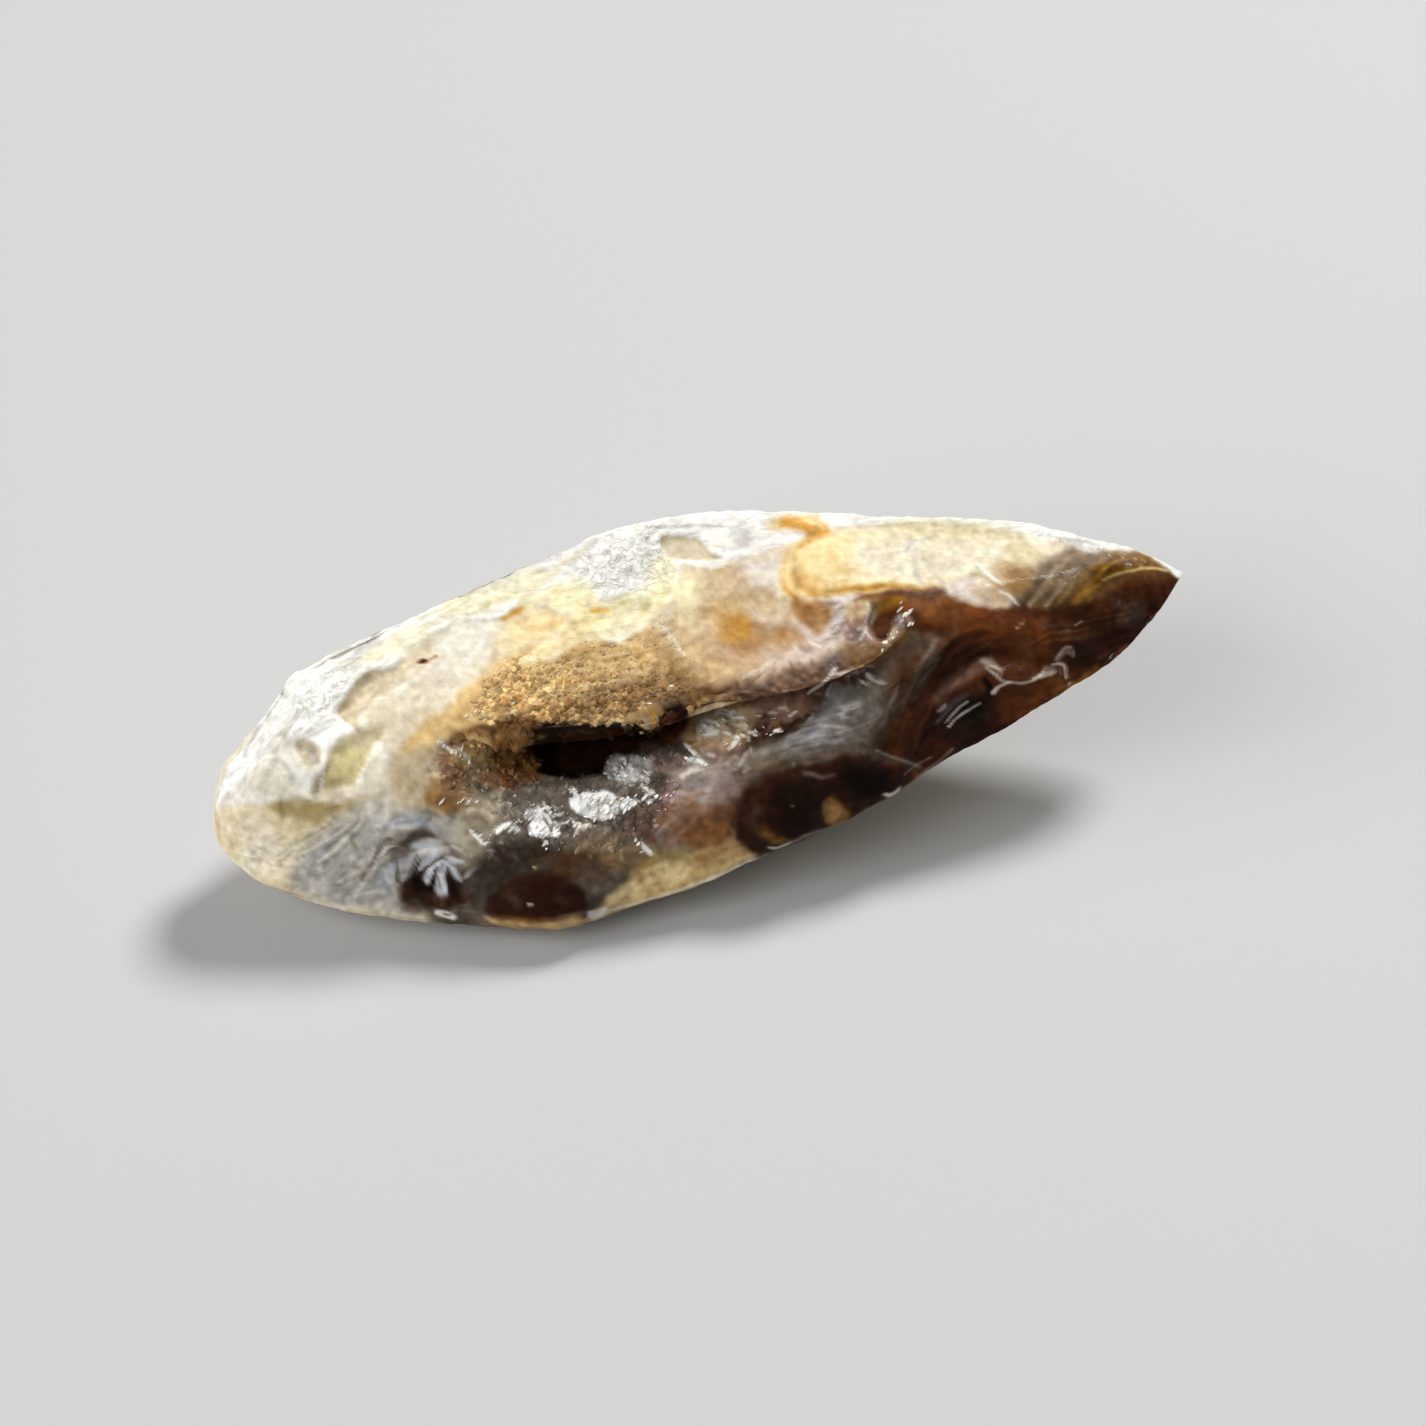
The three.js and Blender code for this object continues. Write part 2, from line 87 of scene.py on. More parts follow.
BACK = [
    (-23.3, 2.6, 6.0), (-20.6, 4.9, 6.2), (-16, 6.8, 6.5), (-10, 8.2, 6.9), (-4, 8.8, 7.3),
    (2, 8.7, 7.7), (7, 7.8, 8.3), (12, 6.6, 9.0), (16.5, 5.2, 9.6), (20.5, 3.5, 10.0),
    (22.7, 2.3, 10.0),
]
HOLLOW_DEPTH = [
    (-24.1, 0), (-16, 0), (-14, 0.3), (-11.5, 1.3), (-9.5, 2.8), (-8, 4.2), (-5, 5.0), (-2.5, 4.4),
    (-0.5, 2.8), (1.5, 1.6), (4, 1.0), (6.5, 0.5), (9, 0), (23.9, 0),
]
MOUTH_HEIGHT = [
    (-24.1, 0.2), (-22, 1.0), (-15, 2.1), (-11, 2.5), (-7, 2.6), (-4, 2.5), (-2, 2.2), (0, 2.0),
    (5, 1.8), (12, 1.6), (20, 0.9), (23.9, 0.1),
]
UPPER_BULGE = [
    (-24.1, 0.9), (-16, 0.9), (-9, 0.1), (-3, -0.35), (3, 0), (8, 0.5), (14, 0.35), (23.9, 0.3),
]
LOWER_BULGE = [(-24.1, 1.0), (-10, 1.0), (0, 0.8), (8, 0.5), (23.9, 0.5)]
FACE_ROUNDNESS = [(-24.1, 1), (-15, 1), (-11, 0), (8, 0), (12, 0.5), (23.9, 0.6)]
LEDGE_THICKNESS = 0.5
LEDGE_TURN = 1 / 11
MOUTH_LIMIT = 0.45
WALL_SWELL = 0.22
WALL_SAG = 0.12
# Centre along the stone and round it, reach both ways, height.
PITS_AND_DOMES = [
    (-17.5, 0.75, 2.6, 0.3, -0.35), (-20.5, 2.2, 2.2, 0.3, 0.3), (-15.6, 2.55, 1.6, 0.22, -0.35),
    (2.5, 0.62, 2.4, 0.22, -0.45), (6.6, 0.8, 1.4, 0.16, -0.5), (-0.8, 0.4, 1.2, 0.12, 0.25),
    (-9.3, 2.9, 2.2, 0.12, 0.3), (-3.2, 2.68, 2.2, 0.16, -0.3), (1.8, 2.69, 2.1, 0.2, 0.35),
    (6.2, 2.5, 1.6, 0.26, 0.25), (10.5, 2.3, 2, 0.4, -0.35), (18.3, 0.16, 0.8, 0.12, -0.4),
]
CRUST_FROM_X = -12.6
CRUST_TO_X = 4.2
CRUST_MIDDLE = 1.6
CRUST_THICKNESS = 0.5
CRUST_BORDER = 0.3
CRUST_END_WIDTH = 0.3
BED_CLEARANCE = 0.3
APRON_END = 2 + 4 / 9
STATIONS = 400
STEPS_ROUND = {"upper": 92, "hollow": 22, "lower": 74, "rind": 61}


def curve_through(knots, steps=400):
    """Points of a centripetal curve through knots of rising x."""
    knots = np.array(knots, float)
    padded = np.vstack([2 * knots[0] - knots[1], knots, 2 * knots[-1] - knots[-2]])
    t = np.linspace(0, len(knots) - 1, steps + 1)
    first = np.minimum(t.astype(int), len(knots) - 2)
    w = (t - first)[:, None]
    a, b, c, d = (padded[first + k] for k in range(4))
    ab, bc, cd = (
        np.maximum(((q - p) ** 2).sum(1) ** 0.25, 1e-4)[:, None]
        for p, q in ((a, b), (b, c), (c, d))
    )
    leave = ((b - a) / ab - (c - a) / (ab + bc) + (c - b) / bc) * bc
    arrive = ((c - b) / bc - (d - b) / (bc + cd) + (d - c) / cd) * bc
    bend = -3 * b + 3 * c - 2 * leave - arrive
    return b + leave * w + bend * w**2 + (2 * b - 2 * c + leave + arrive) * w**3


def along(x, knots):
    """A value given by knots (x, value), at each x."""
    curve = curve_through([(at, value, 0) for at, value in knots])
    least = min(value for _, value in knots)
    return np.maximum(np.interp(x, curve[:, 0], curve[:, 1]), least)


def line_at(x, points):
    """Place (y, z) of one of the stone's long lines, at each x."""
    curve = curve_through([BLUNT_END, *points, TIP])
    return np.stack([np.interp(x, curve[:, 0], curve[:, k]) for k in (1, 2)], -1)


def spline(points, t):
    """Smooth curve through a few points (each an array over the stations), t from 0 to 1."""
    padded = np.stack([points[0], *points, points[-1]])
    spot = t * (len(points) - 1)
    first = np.minimum(spot.astype(int), len(points) - 2)
    w = (spot - first)[None, :, None]
    a, b, c, d = (np.moveaxis(padded[first + k], 0, 1) for k in range(4))
    leave, arrive = (c - a) / 2, (d - b) / 2
    bend = -3 * b + 3 * c - 2 * leave - arrive
    return (2 * b - 2 * c + leave + arrive) * w**3 + bend * w**2 + leave * w + b


def smooth(low, high, value):
    """Eased step from 0 at low to 1 at high, whichever is the larger."""
    t = np.clip((value - low) / (high - low), 0, 1)
    return t * t * (3 - 2 * t)


def facet(start, end, t, bulge):
    """Flat facet between two long lines, swelling outward in the middle."""
    run = end - start
    length = np.linalg.norm(run, axis=1, keepdims=True)
    out = np.stack([run[:, 1], -run[:, 0]], 1) / np.maximum(length, 1e-6)
    swell = (bulge * np.minimum(1, length[:, 0] / 8))[:, None] * 4 * t * (1 - t)
    return start[:, None] + run[:, None] * t[None, :, None] + out[:, None] * swell[..., None]


def pocket(lip, sill, depth, t):
    """The hollow's wall from the lip, down the ledge's blunt front and round to the sill."""
    front = LEDGE_THICKNESS * smooth(0.2, 3, depth)
    reach = np.maximum(np.linalg.norm(sill - lip, axis=1), 0.2)
    top = lip + (sill - lip) * (front / reach)[:, None]
    middle, half = (top + sill) / 2, (top - sill) / 2
    turned = np.where(front[:, None] > 0, (t - LEDGE_TURN) / (1 - LEDGE_TURN), t)
    angle = np.pi * np.clip(turned, 0, 1)
    inward = np.sin(angle) ** 0.8 * depth[:, None]
    swell = 1 + WALL_SWELL * np.sin(angle) * np.minimum(1, depth / 3)[:, None]
    skew = -WALL_SAG * np.sin(angle) * depth[:, None]
    span = half[:, None] * (np.cos(angle) * swell)[..., None]
    wall = middle[:, None] + span + np.stack([inward, skew], -1)
    share = np.clip(t / LEDGE_TURN, 0, 1)[None, :, None]
    ledge = lip[:, None] + (top - lip)[:, None] * share
    on_ledge = (t[None] < LEDGE_TURN) & (front[:, None] > 0)
    return np.where(on_ledge[..., None], ledge, wall)


def plain_stone(x, way):
    """Points of the plain stone. way runs from 0 at the rim to 1 at the lip, through the hollow to
    2 at the sill, down the face to 3 at the lower edge and round the rind to 4."""
    rim, lip, edge, keel, back = (line_at(x, line) for line in (RIM, LIP, EDGE, KEEL, BACK))
    depth = along(x, HOLLOW_DEPTH)
    reach = np.maximum(np.linalg.norm(edge - lip, axis=1), 1e-6)
    mouth = np.minimum(along(x, MOUTH_HEIGHT), reach * MOUTH_LIMIT)
    sill = lip + (edge - lip) * (mouth / reach)[:, None]
    points = np.empty((len(x), len(way), 2))
    stretches = [
        lambda t: facet(rim, lip, t, along(x, UPPER_BULGE)),
        lambda t: pocket(lip, sill, depth, t),
        lambda t: facet(sill, edge, t, along(x, LOWER_BULGE)),
        lambda t: spline([edge, keel, back, rim], t),
    ]
    for number, stretch in enumerate(stretches):
        here = np.floor(way) == number
        if here.any():
            points[:, here] = stretch(way[here] - number)
    face = way < 3
    rounded = spline([rim, lip, edge], way[face] / 3)
    share = along(x, FACE_ROUNDNESS)[:, None, None]
    points[:, face] += (rounded - points[:, face]) * share
    return np.concatenate([np.broadcast_to(x[:, None, None], (*points.shape[:2], 1)), points], -1)


def outward(x, way):
    """Outward direction of the plain stone, evened out over its edges."""
    dx, dw = 0.05, 0.03
    low, high = np.maximum(x - dx, BLUNT_END[0] + 1e-3), np.minimum(x + dx, TIP[0] - 1e-3)
    lengthways = plain_stone(high, way) - plain_stone(low, way)
    round_it = plain_stone(x, (way + dw) % 4) - plain_stone(x, (way - dw) % 4)
    normal = np.cross(round_it, lengthways)
    return normal / np.linalg.norm(normal, axis=-1, keepdims=True)


LUMP_KEYS = (127.1, 311.7, 74.7)
LUMP_STRETCH = 43758.5453


def lump_noise(x, y, z):
    """Repeatable noise between -1 and 1 that the stone's larger lumps share with its solid."""
    x, y, z = np.broadcast_arrays(x, y, z)
    i, j, k = np.floor(x), np.floor(y), np.floor(z)
    u, v, w = (f * f * (3 - 2 * f) for f in (x - i, y - j, z - k))
    total = 0
    for a, b, c in np.ndindex(2, 2, 2):
        key = (i + a) * LUMP_KEYS[0] + (j + b) * LUMP_KEYS[1] + (k + c) * LUMP_KEYS[2]
        value = np.sin(key) * LUMP_STRETCH
        weight = (u if a else 1 - u) * (v if b else 1 - v) * (w if c else 1 - w)
        total = total + weight * (value - np.floor(value))
    return 2 * total - 1


SLOPES = np.random.RandomState(11).normal(size=(256, 3))
SLOPES /= np.linalg.norm(SLOPES, axis=1, keepdims=True)
CELL_KEYS = (73856093, 19349663, 83492791)
SEED_KEY = 2654435
MIXING_KEY = 1274126177
OCTAVE_SHIFT = 31.7
GRAIN_GAIN = 1.6


def scatter(cell, seed):
    """A repeatable whole number for each cell of a grid."""
    mixed = seed * SEED_KEY
    for axis, key in enumerate(CELL_KEYS):
        mixed = mixed ^ cell[..., axis] * key
    mixed = (mixed ^ (mixed >> 13)) * MIXING_KEY
    return (mixed ^ (mixed >> 16)) & 0x7FFFFFFF


def grain(p, size, seed, octaves=1):
    """Fine noise of about -1 to 1, with features of a size in millimetres. Each use of it has its
    own seed."""
    total, share = 0, 1
    for octave in range(octaves):
        q = p / size * 2**octave + OCTAVE_SHIFT * (seed + octave)
        cell = np.floor(q).astype(np.int64)
        f = q - cell
        ease = f**3 * (f * (f * 6 - 15) + 10)
        value = 0
        for corner in np.ndindex(2, 2, 2):
            slope = SLOPES[scatter(cell + corner, seed) % len(SLOPES)]
            weight = np.prod(np.where(corner, ease, 1 - ease), -1)
            value = value + weight * ((f - corner) * slope).sum(-1)
        total = total + share * value * GRAIN_GAIN
        share *= 0.5
    return total


def crumbs(p, size, seed):
    """Grains of sugar-like quartz: distance to the nearest one (0 at its middle) and its number."""
    q = p / size
    cell = np.floor(q).astype(np.int64)
    best = np.full(q.shape[:-1], 9.0)
    number = np.zeros(q.shape[:-1], np.int64)
    for step in np.ndindex(3, 3, 3):
        near = cell + np.array(step) - 1
        spot = np.stack([scatter(near, seed + k) % 1000 / 1000 for k in range(3)], -1)
        distance = np.linalg.norm(near + spot - q, axis=-1)
        closer = distance < best
        best = np.where(closer, distance, best)
        number = np.where(closer, scatter(near, seed + 5), number)
    return best, number % 1000 / 1000


# The chart: a flat map of the broken face as it meets the eye from in front and above. All marks
# on the stone are laid out on it, 21 units to the millimetre, x to the right and y down.
CHART_SCALE = 21
CHART_CENTRE = 713
CHART_ORIGIN = np.array([0, 0, 7.0])
CHART_DISTANCE = 200
VIEW_AZIMUTH, VIEW_ELEVATION = np.radians(-15), np.radians(40)
TO_EYE = np.array([
    np.sin(VIEW_AZIMUTH) * np.cos(VIEW_ELEVATION),
    -np.cos(VIEW_AZIMUTH) * np.cos(VIEW_ELEVATION),
    np.sin(VIEW_ELEVATION),
])
TO_RIGHT = np.array([np.cos(VIEW_AZIMUTH), np.sin(VIEW_AZIMUTH), 0])
TO_TOP = np.cross(TO_EYE, TO_RIGHT)


def chart(points):
    """Chart place (x, y) of points of the stone."""
    offset = points - CHART_ORIGIN
    near = CHART_SCALE / (1 - offset @ TO_EYE / CHART_DISTANCE)
    across, up = offset @ TO_RIGHT * near, offset @ TO_TOP * near
    return np.stack([CHART_CENTRE + across, CHART_CENTRE - up], -1)


def gap_to_run(place, start, run):
    """Gap from chart places to a straight run, and how far along it (0 to 1) it is nearest."""
    t = np.clip(((place - start) @ run) / max(run @ run, 1e-9), 0, 1)
    return np.linalg.norm(place - start - t[..., None] * run, axis=-1), t


def inside(place, outline):
    """How far chart places lie inside an outline, below 0 outside it."""
    corners = np.array(outline, float)
    nearest = np.full(place.shape[:-1], 1e9)
    within = np.zeros(place.shape[:-1], bool)
    for a, b in zip(corners, np.roll(corners, -1, 0)):
        run = b - a
        nearest = np.minimum(nearest, gap_to_run(place, a, run)[0])
        crosses = (a[1] > place[..., 1]) != (b[1] > place[..., 1])
        with np.errstate(divide="ignore", invalid="ignore"):
            within ^= crosses & (place[..., 0] < a[0] + (place[..., 1] - a[1]) * run[0] / run[1])
    return np.where(within, nearest, -nearest)


def beside(place, stroke):
    """How far chart places lie inside a stroke of points (x, y, half width), below 0 outside it."""
    best = np.full(place.shape[:-1], -1e9)
    if len(stroke) == 1:
        stroke = [stroke[0], stroke[0]]
    for (ax, ay, aw), (bx, by, bw) in zip(stroke, stroke[1:]):
        gap, t = gap_to_run(place, np.array([ax, ay]), np.array([bx - ax, by - ay]))
        best = np.maximum(best, aw + (bw - aw) * t - gap)
    return best


# What the stone is coloured by, as it looks in plain light: red, green and blue from 0 to 255. The purest
# white is no colour of the stone: laid on crystal faces it paints their glare, a painted highlight; coal and
# umber, besides the stone's own dark browns, also paint the shade in the hollow.
FINISHES = {
    "chalk": (247, 245, 239), "bone": (228, 223, 211), "ivory": (240, 231, 209),
    "cream": (224, 208, 170), "butter": (247, 233, 182), "peach": (244, 222, 170),
    "sand": (208, 193, 163), "straw": (200, 188, 138), "olive": (152, 132, 84),
    "fog": (178, 174, 168), "pewter": (132, 129, 125), "pearl": (178, 181, 187),
    "slate": (104, 105, 112), "lilac": (216, 204, 195), "mauve": (136, 112, 102),
    "honey": (224, 190, 130), "tan": (186, 151, 102), "caramel": (150, 104, 54),
    "amber": (204, 138, 40), "gold": (176, 126, 38), "rust": (112, 58, 22),
    "chestnut": (70, 34, 13), "umber": (42, 20, 9), "coal": (14, 7, 4),
    "smoke": (74, 65, 55), "ash": (112, 101, 90), "frost": (255, 254, 251),
    "linen": (222, 211, 184), "walnut": (98, 68, 33), "fawn": (158, 124, 108),
    "bronze": (104, 68, 10),
}

# Marks laid over one another, the first undermost. Each has a finish, how soft its border is, how
# strongly it covers, and one or more shapes: an outline of (x, y) or a stroke of (x, y, half
# width). A sheaf of strokes has several finishes, the lines (x, y) of its first and last stroke,
# how many strokes there are and their half width. Dabs have several finishes, the outline they
# are scattered over, how many there are and their half width.
MARKS = [
    # The smoky quartz of the lower face, under everything else there.
    ("smoke", 8, 1, [(436, 752), (470, 722), (600, 724), (650, 724), (700, 692), (850, 676),
     (890, 640), (925, 598), (1000, 600), (1060, 590), (1190, 560), (1170, 620), (1120, 660),
     (1040, 712), (960, 755), (880, 812), (800, 848), (720, 885), (600, 925), (470, 932),
     (420, 925), (440, 860), (450, 800)]),
    # The blunt end: waxy pale chalcedony in lobes, over a cream foot.
    ("bone", 8, 1, [(300, 640), (345, 700), (352, 735), (330, 800), (240, 806), (170, 830)]),
    ("cream", 6, 1, [(200, 818), (226, 806), (350, 800), (346, 815), (290, 882), (262, 884),
     (200, 840)]),
    ("ivory", 9, 0.5, [(240, 840), (280, 838), (300, 850), (290, 880), (250, 870)]),
    ("tan", 7, 0.4, [(215, 815), (250, 810), (262, 830), (238, 862), (212, 838)]),
    # Olive along the groove above the foot: partly the stone's own colour, partly the groove's shadow
    # painted in.
    ("olive", 6, 0.75, [(266, 805), (284, 801), (352, 800), (356, 806), (330, 814), (322, 826),
     (290, 820)]),
    (("olive", "tan", "ivory", "sand"), 2.5, 0.45, [(222, 818), (240, 812), (262, 812)],
     [(262, 872), (284, 848), (312, 832)], 12, 1.3),
    ("ivory", 5, 1, [(352, 718), (372, 702), (440, 655), (500, 625), (482, 672), (442, 712),
     (402, 740), (396, 762), (372, 790), (340, 799), (352, 770), (362, 735)]),
    ("bone", 8, 0.8, [(430, 640), (470, 615), (505, 622), (480, 662), (432, 690)]),
    ("sand", 9, 0.6, [(362, 722), (400, 696), (425, 690), (440, 706), (400, 738), (375, 745)]),
    ("sand", 10, 0.45, [(392, 712), (440, 668), (490, 640), (484, 668), (404, 734)]),
    (("chalk", "ivory", "cream", "lilac"), 2.5, 0.5, [(372, 700), (400, 676), (440, 648),
     (478, 622)], [(384, 738), (420, 712), (460, 680), (500, 640)], 16, 1.6),
    ("straw", 2.5, 1, [(333, 745), (346, 736), (384, 722), (384, 736), (374, 746), (364, 765),
     (354, 785), (337, 797), (308, 797), (316, 786), (326, 768)]),
    ("olive", 7, 0.4, [(304, 790), (312, 782), (334, 774), (350, 780), (338, 792), (306, 794)]),
    ("olive", 3, 0.35, [(331, 752, 1.5), (326, 772, 2), (318, 786, 1.5)]),
    ("sand", 6, 0.8, [(344, 738), (384, 724), (378, 738), (356, 750)]),
    ("ivory", 3, 0.95, [(370, 746), (380, 742), (388, 755), (392, 790), (366, 794), (356, 788),
     (366, 765)]),
    ("chalk", 2.5, 0.8, [(376, 742, 1.5), (386, 752, 2.4), (390, 790, 2)]),
    ("sand", 2, 0.95, [(333, 713), (345, 700), (382, 688), (362, 704), (356, 730), (344, 722)]),
    ("olive", 8, 0.22, [(336, 712), (350, 698), (360, 704), (348, 722)]),
    ("sand", 3, 0.9, [(298, 738), (312, 742), (320, 752), (319, 768), (306, 770), (297, 755)]),
    ("fog", 3, 0.5, [(306, 742), (318, 752), (318, 768), (308, 766)]),
    ("chalk", 2, 0.9, [(321, 745, 1.5), (324, 760, 2), (322, 780, 1.5), (318, 795, 1.5)]),
    ("chalk", 2, 0.8, [(333, 740, 2), (324, 748, 2)]),
    ("chalk", 2.5, 0.9, [(345, 729, 2.6), (356, 732, 1.2)]),
    ("ivory", 3, 0.8, [(296, 790, 3), (320, 800, 2.4), (345, 800, 1.8), (372, 790, 2)]),
    ("chalk", 4, 0.5, [(300, 775, 4), (312, 778, 3), (300, 792, 4)]),
    ("fog", 2.5, 0.6, [(243, 778, 1.4), (250, 762, 1.4), (266, 756, 1.4), (284, 764, 1.4),
     (292, 780, 1.4), (286, 795, 1.4)], [(270, 745, 1.3), (276, 757, 1.4), (286, 764, 1.4),
     (294, 778, 1.4), (291, 792, 1.2)]),
    ("sand", 6, 0.4, [(250, 770), (268, 760), (284, 770), (286, 790), (262, 796), (248, 788)]),
    ("ivory", 4, 0.9, [(286, 800, 3), (292, 786, 3)]),
    ("ivory", 4, 0.75, [(312, 795, 3), (334, 792, 5), (352, 788, 5)]),
    (("bone", "fog", "ivory"), 2, 0.4, [(225, 800), (240, 770), (262, 742)], [(262, 800),
     (276, 770), (290, 748)], 9, 1.2),
    # Flow lines that sweep from the foot up to the pale strip.
    ("fog", 10, 0.85, [(296, 872), (352, 812), (398, 802), (436, 818), (432, 918), (392, 918),
     (288, 892)]),
    (("fog", "ivory", "ash", "bone", "pewter", "ivory", "bone"), 1.9, 0.6, [(268, 866), (288, 846),
     (314, 828), (340, 814), (366, 803)], [(346, 908), (364, 890), (376, 868), (386, 846),
     (398, 824)], 34, 1.9),
    ("fog", 9, 0.6, [(282, 880), (300, 850), (340, 822), (392, 806), (372, 900), (320, 904)]),
    ("pewter", 1.8, 0.6, [(321, 866, 1), (344, 848, 1.4), (367, 823, 1.6), (384, 803, 1.2)],
     [(304, 858, 1), (329, 845, 1.4), (354, 830, 1.6), (376, 810, 1.2)]),
    ("ash", 1.8, 0.5, [(340, 886, 1), (372, 871, 1.2)]),
    ("ivory", 1.6, 0.8, [(318, 863, 1), (340, 845, 1.4), (363, 820, 1.6), (380, 800, 1)]),
    ("ivory", 1.6, 0.7, [(300, 855, 1), (325, 841, 1.2), (350, 826, 1.4), (372, 806, 1)]),
    ("ivory", 1.6, 0.65, [(338, 882, 0.8), (370, 866, 1.2)], [(348, 898, 0.8), (368, 893, 1.2),
     (394, 891, 1.2)]),
    ("pewter", 9, 0.3, [(336, 878), (386, 876), (388, 900), (340, 902)]),
    ("bone", 8, 0.6, [(366, 798), (410, 796), (414, 818), (380, 826), (366, 820)]),
    ("bone", 12, 0.45, [(212, 812), (262, 810), (284, 850), (262, 872), (232, 862)]),
    (("bone", "fog", "ash", "ivory", "sand", "olive"), 1.8, 0.4, [(240, 840), (280, 830),
     (320, 826), (380, 806), (384, 850), (372, 896), (300, 888), (250, 862)], 60, 2.2),
    # The plume: pale feathery fronds in a dark smoky patch.
    ("ash", 8, 0.9, [(398, 832), (440, 822), (500, 880), (480, 916), (420, 916), (398, 892),
     (384, 850)]),
    ("fog", 8, 0.75, [(430, 816), (458, 818), (478, 836), (484, 850), (460, 848), (436, 836)]),
    ("umber", 6, 0.9, [(400, 880), (420, 860), (446, 876), (470, 874), (470, 906), (440, 908),
     (402, 912)]),
    ("coal", 5, 0.6, [(412, 876), (424, 868), (434, 884), (430, 900), (412, 904)]),
    ("coal", 6, 0.65, [(452, 878), (470, 880), (462, 906), (450, 898)]),
    ("smoke", 8, 0.9, [(466, 866), (500, 850), (506, 884), (486, 914), (470, 906), (462, 884)]),
    ("pewter", 3, 0.9, [(378, 846, 2), (386, 826, 3), (398, 814, 3), (420, 808, 3), (440, 818, 2)]),
    ("pearl", 3, 0.9, [(390, 824, 3), (404, 822, 6), (424, 822, 5), (436, 832, 2)]),
    ("chalk", 3, 0.45, [(394, 826, 2.5), (404, 829, 2.5), (414, 828, 1.5)]),
    ("smoke", 2, 0.95, [(404, 842, 2), (414, 836, 4), (424, 834, 3.4), (438, 839, 1)]),
    ("smoke", 2.5, 0.85, [(380, 856, 2), (404, 846, 3)]),
    ("ash", 2, 0.8, [(362, 880, 2), (370, 864, 3), (386, 852, 3), (404, 848, 2)]),
    (("bone", "fog", "ash"), 1.4, 0.75, [(366, 866), (376, 848), (388, 836), (396, 838)],
     [(374, 888), (382, 868), (392, 856), (402, 850)], 9, 1.2),
    ("fog", 2.5, 0.95, [(440, 842, 3), (430, 841, 3), (416, 844, 2.5), (410, 847, 1)],
     [(446, 850, 4), (434, 850, 6), (408, 854, 2)]),
    ("pearl", 2.2, 0.85, [(440, 852, 3), (428, 860, 5), (422, 866, 5), (419, 869, 2)]),
    ("pearl", 2.2, 0.9, [(420, 856, 3), (408, 862, 6), (402, 870, 6), (400, 879, 3)]),
    ("pearl", 2.2, 0.85, [(402, 862, 4), (390, 868, 5), (384, 890, 4)]),
    ("fog", 2, 0.9, [(394, 866, 3), (395, 880, 4), (390, 892, 4)]),
    ("pearl", 1.8, 0.95, [(442, 862, 3), (432, 868, 4), (426, 878, 4), (428, 884, 1.6)]),
    ("pearl", 1.8, 1, [(446, 864, 3), (440, 874, 4), (441, 888, 6.5), (444, 896, 5)]),
    ("pearl", 1.8, 0.9, [(446, 857, 2), (454, 862, 4), (461, 862, 2)]),
    ("pearl", 1.8, 0.85, [(450, 866, 2), (456, 874, 3.5), (461, 881, 1.6)]),
    ("fog", 2, 0.8, [(482, 864, 1), (472, 870, 2.4), (464, 878, 2)]),
    ("chalk", 1.6, 0.6, [(452, 846, 1.2), (460, 849, 1.4), (465, 854, 1)]),
    ("chalk", 1.6, 0.55, [(450, 857, 1), (458, 861, 1.4)]),
    ("chalk", 2, 0.4, [(398, 868, 1.6), (402, 876, 1.6)], [(441, 876, 1), (446, 890, 1.8)]),
    ("pewter", 1.6, 0.8, [(438, 876, 1), (440, 886, 1.8)]),
    ("pearl", 2, 0.8, [(434, 846, 3), (422, 846, 4), (412, 844, 1.5)], [(392, 868, 4),
     (384, 876, 5), (378, 884, 2)]),
    ("bone", 1.8, 0.5, [(404, 866, 1.5), (403, 880, 1)]),
    ("bone", 1.8, 0.45, [(384, 870, 1.5), (388, 880, 2.2), (392, 888, 1.4)]),
    ("bone", 1.8, 0.5, [(437, 862, 1), (427, 868, 2), (420, 876, 1.6)]),
    ("bone", 1.8, 0.45, [(432, 848, 1), (420, 851, 2), (410, 857, 1.2)]),
    ("fog", 4, 0.45, [(398, 856), (420, 854), (417, 876), (402, 884)]),
    ("smoke", 1.6, 0.55, [(396, 862, 0.8), (397, 870, 1.6), (396, 880, 1.4)]),
    ("smoke", 1.6, 0.6, [(416, 854, 0.8), (413, 862, 1.6), (410, 872, 1.6)]),
    ("coal", 1.2, 0.9, [(440, 859, 0.7), (430, 865, 1.4), (421, 872, 1.6), (416, 884, 2.4)]),
    ("coal", 1.2, 0.85, [(419, 860, 0.8), (415, 870, 1.2), (412, 880, 2)], [(436, 868, 0.7),
     (433, 878, 1.2), (431, 890, 2.4)]),
    ("coal", 1.2, 0.8, [(448, 868, 0.8), (450, 876, 1.4), (454, 886, 2.4)]),
    ("smoke", 1.4, 0.7, [(396, 872, 0.8), (398, 882, 1.6)]),
    ("smoke", 6, 0.6, [(396, 900), (426, 896), (446, 902), (476, 904), (470, 914), (424, 914),
     (400, 914)]),
    ("umber", 5, 0.6, [(420, 892), (450, 898), (476, 894), (474, 908), (440, 910), (420, 904)]),
    (("ash", "umber", "olive", "pewter", "smoke"), 1.8, 0.4, [(396, 896), (430, 896), (446, 902),
     (482, 898), (480, 914), (430, 914), (398, 912)], 22, 2),
    ("umber", 5, 0.4, [(424, 896), (460, 896), (458, 908), (428, 908)]),
    ("bone", 1.6, 0.95, [(438, 912, 3), (446, 914, 4), (454, 918, 2.6)]),
    ("coal", 1, 0.7, [(444, 914, 0.8), (450, 915, 1)]),
    # The brown glassy ground left of the slit.
    ("tan", 8, 0.75, [(392, 748), (436, 735), (452, 752), (440, 800), (402, 808), (390, 780)]),
    ("sand", 9, 0.75, [(390, 744), (426, 738), (436, 760), (428, 800), (400, 810), (388, 780)]),
    (("sand", "ash", "fawn", "tan", "olive", "lilac"), 1.6, 0.5, [(404, 768), (436, 748),
     (462, 744), (476, 770), (444, 796), (410, 800)], 50, 2),
    ("cream", 8, 0.5, [(410, 742), (438, 736), (446, 750), (440, 762), (414, 764)]),
    ("caramel", 7, 0.65, [(428, 780), (450, 768), (474, 776), (474, 800), (456, 818), (436, 816),
     (428, 802)]),
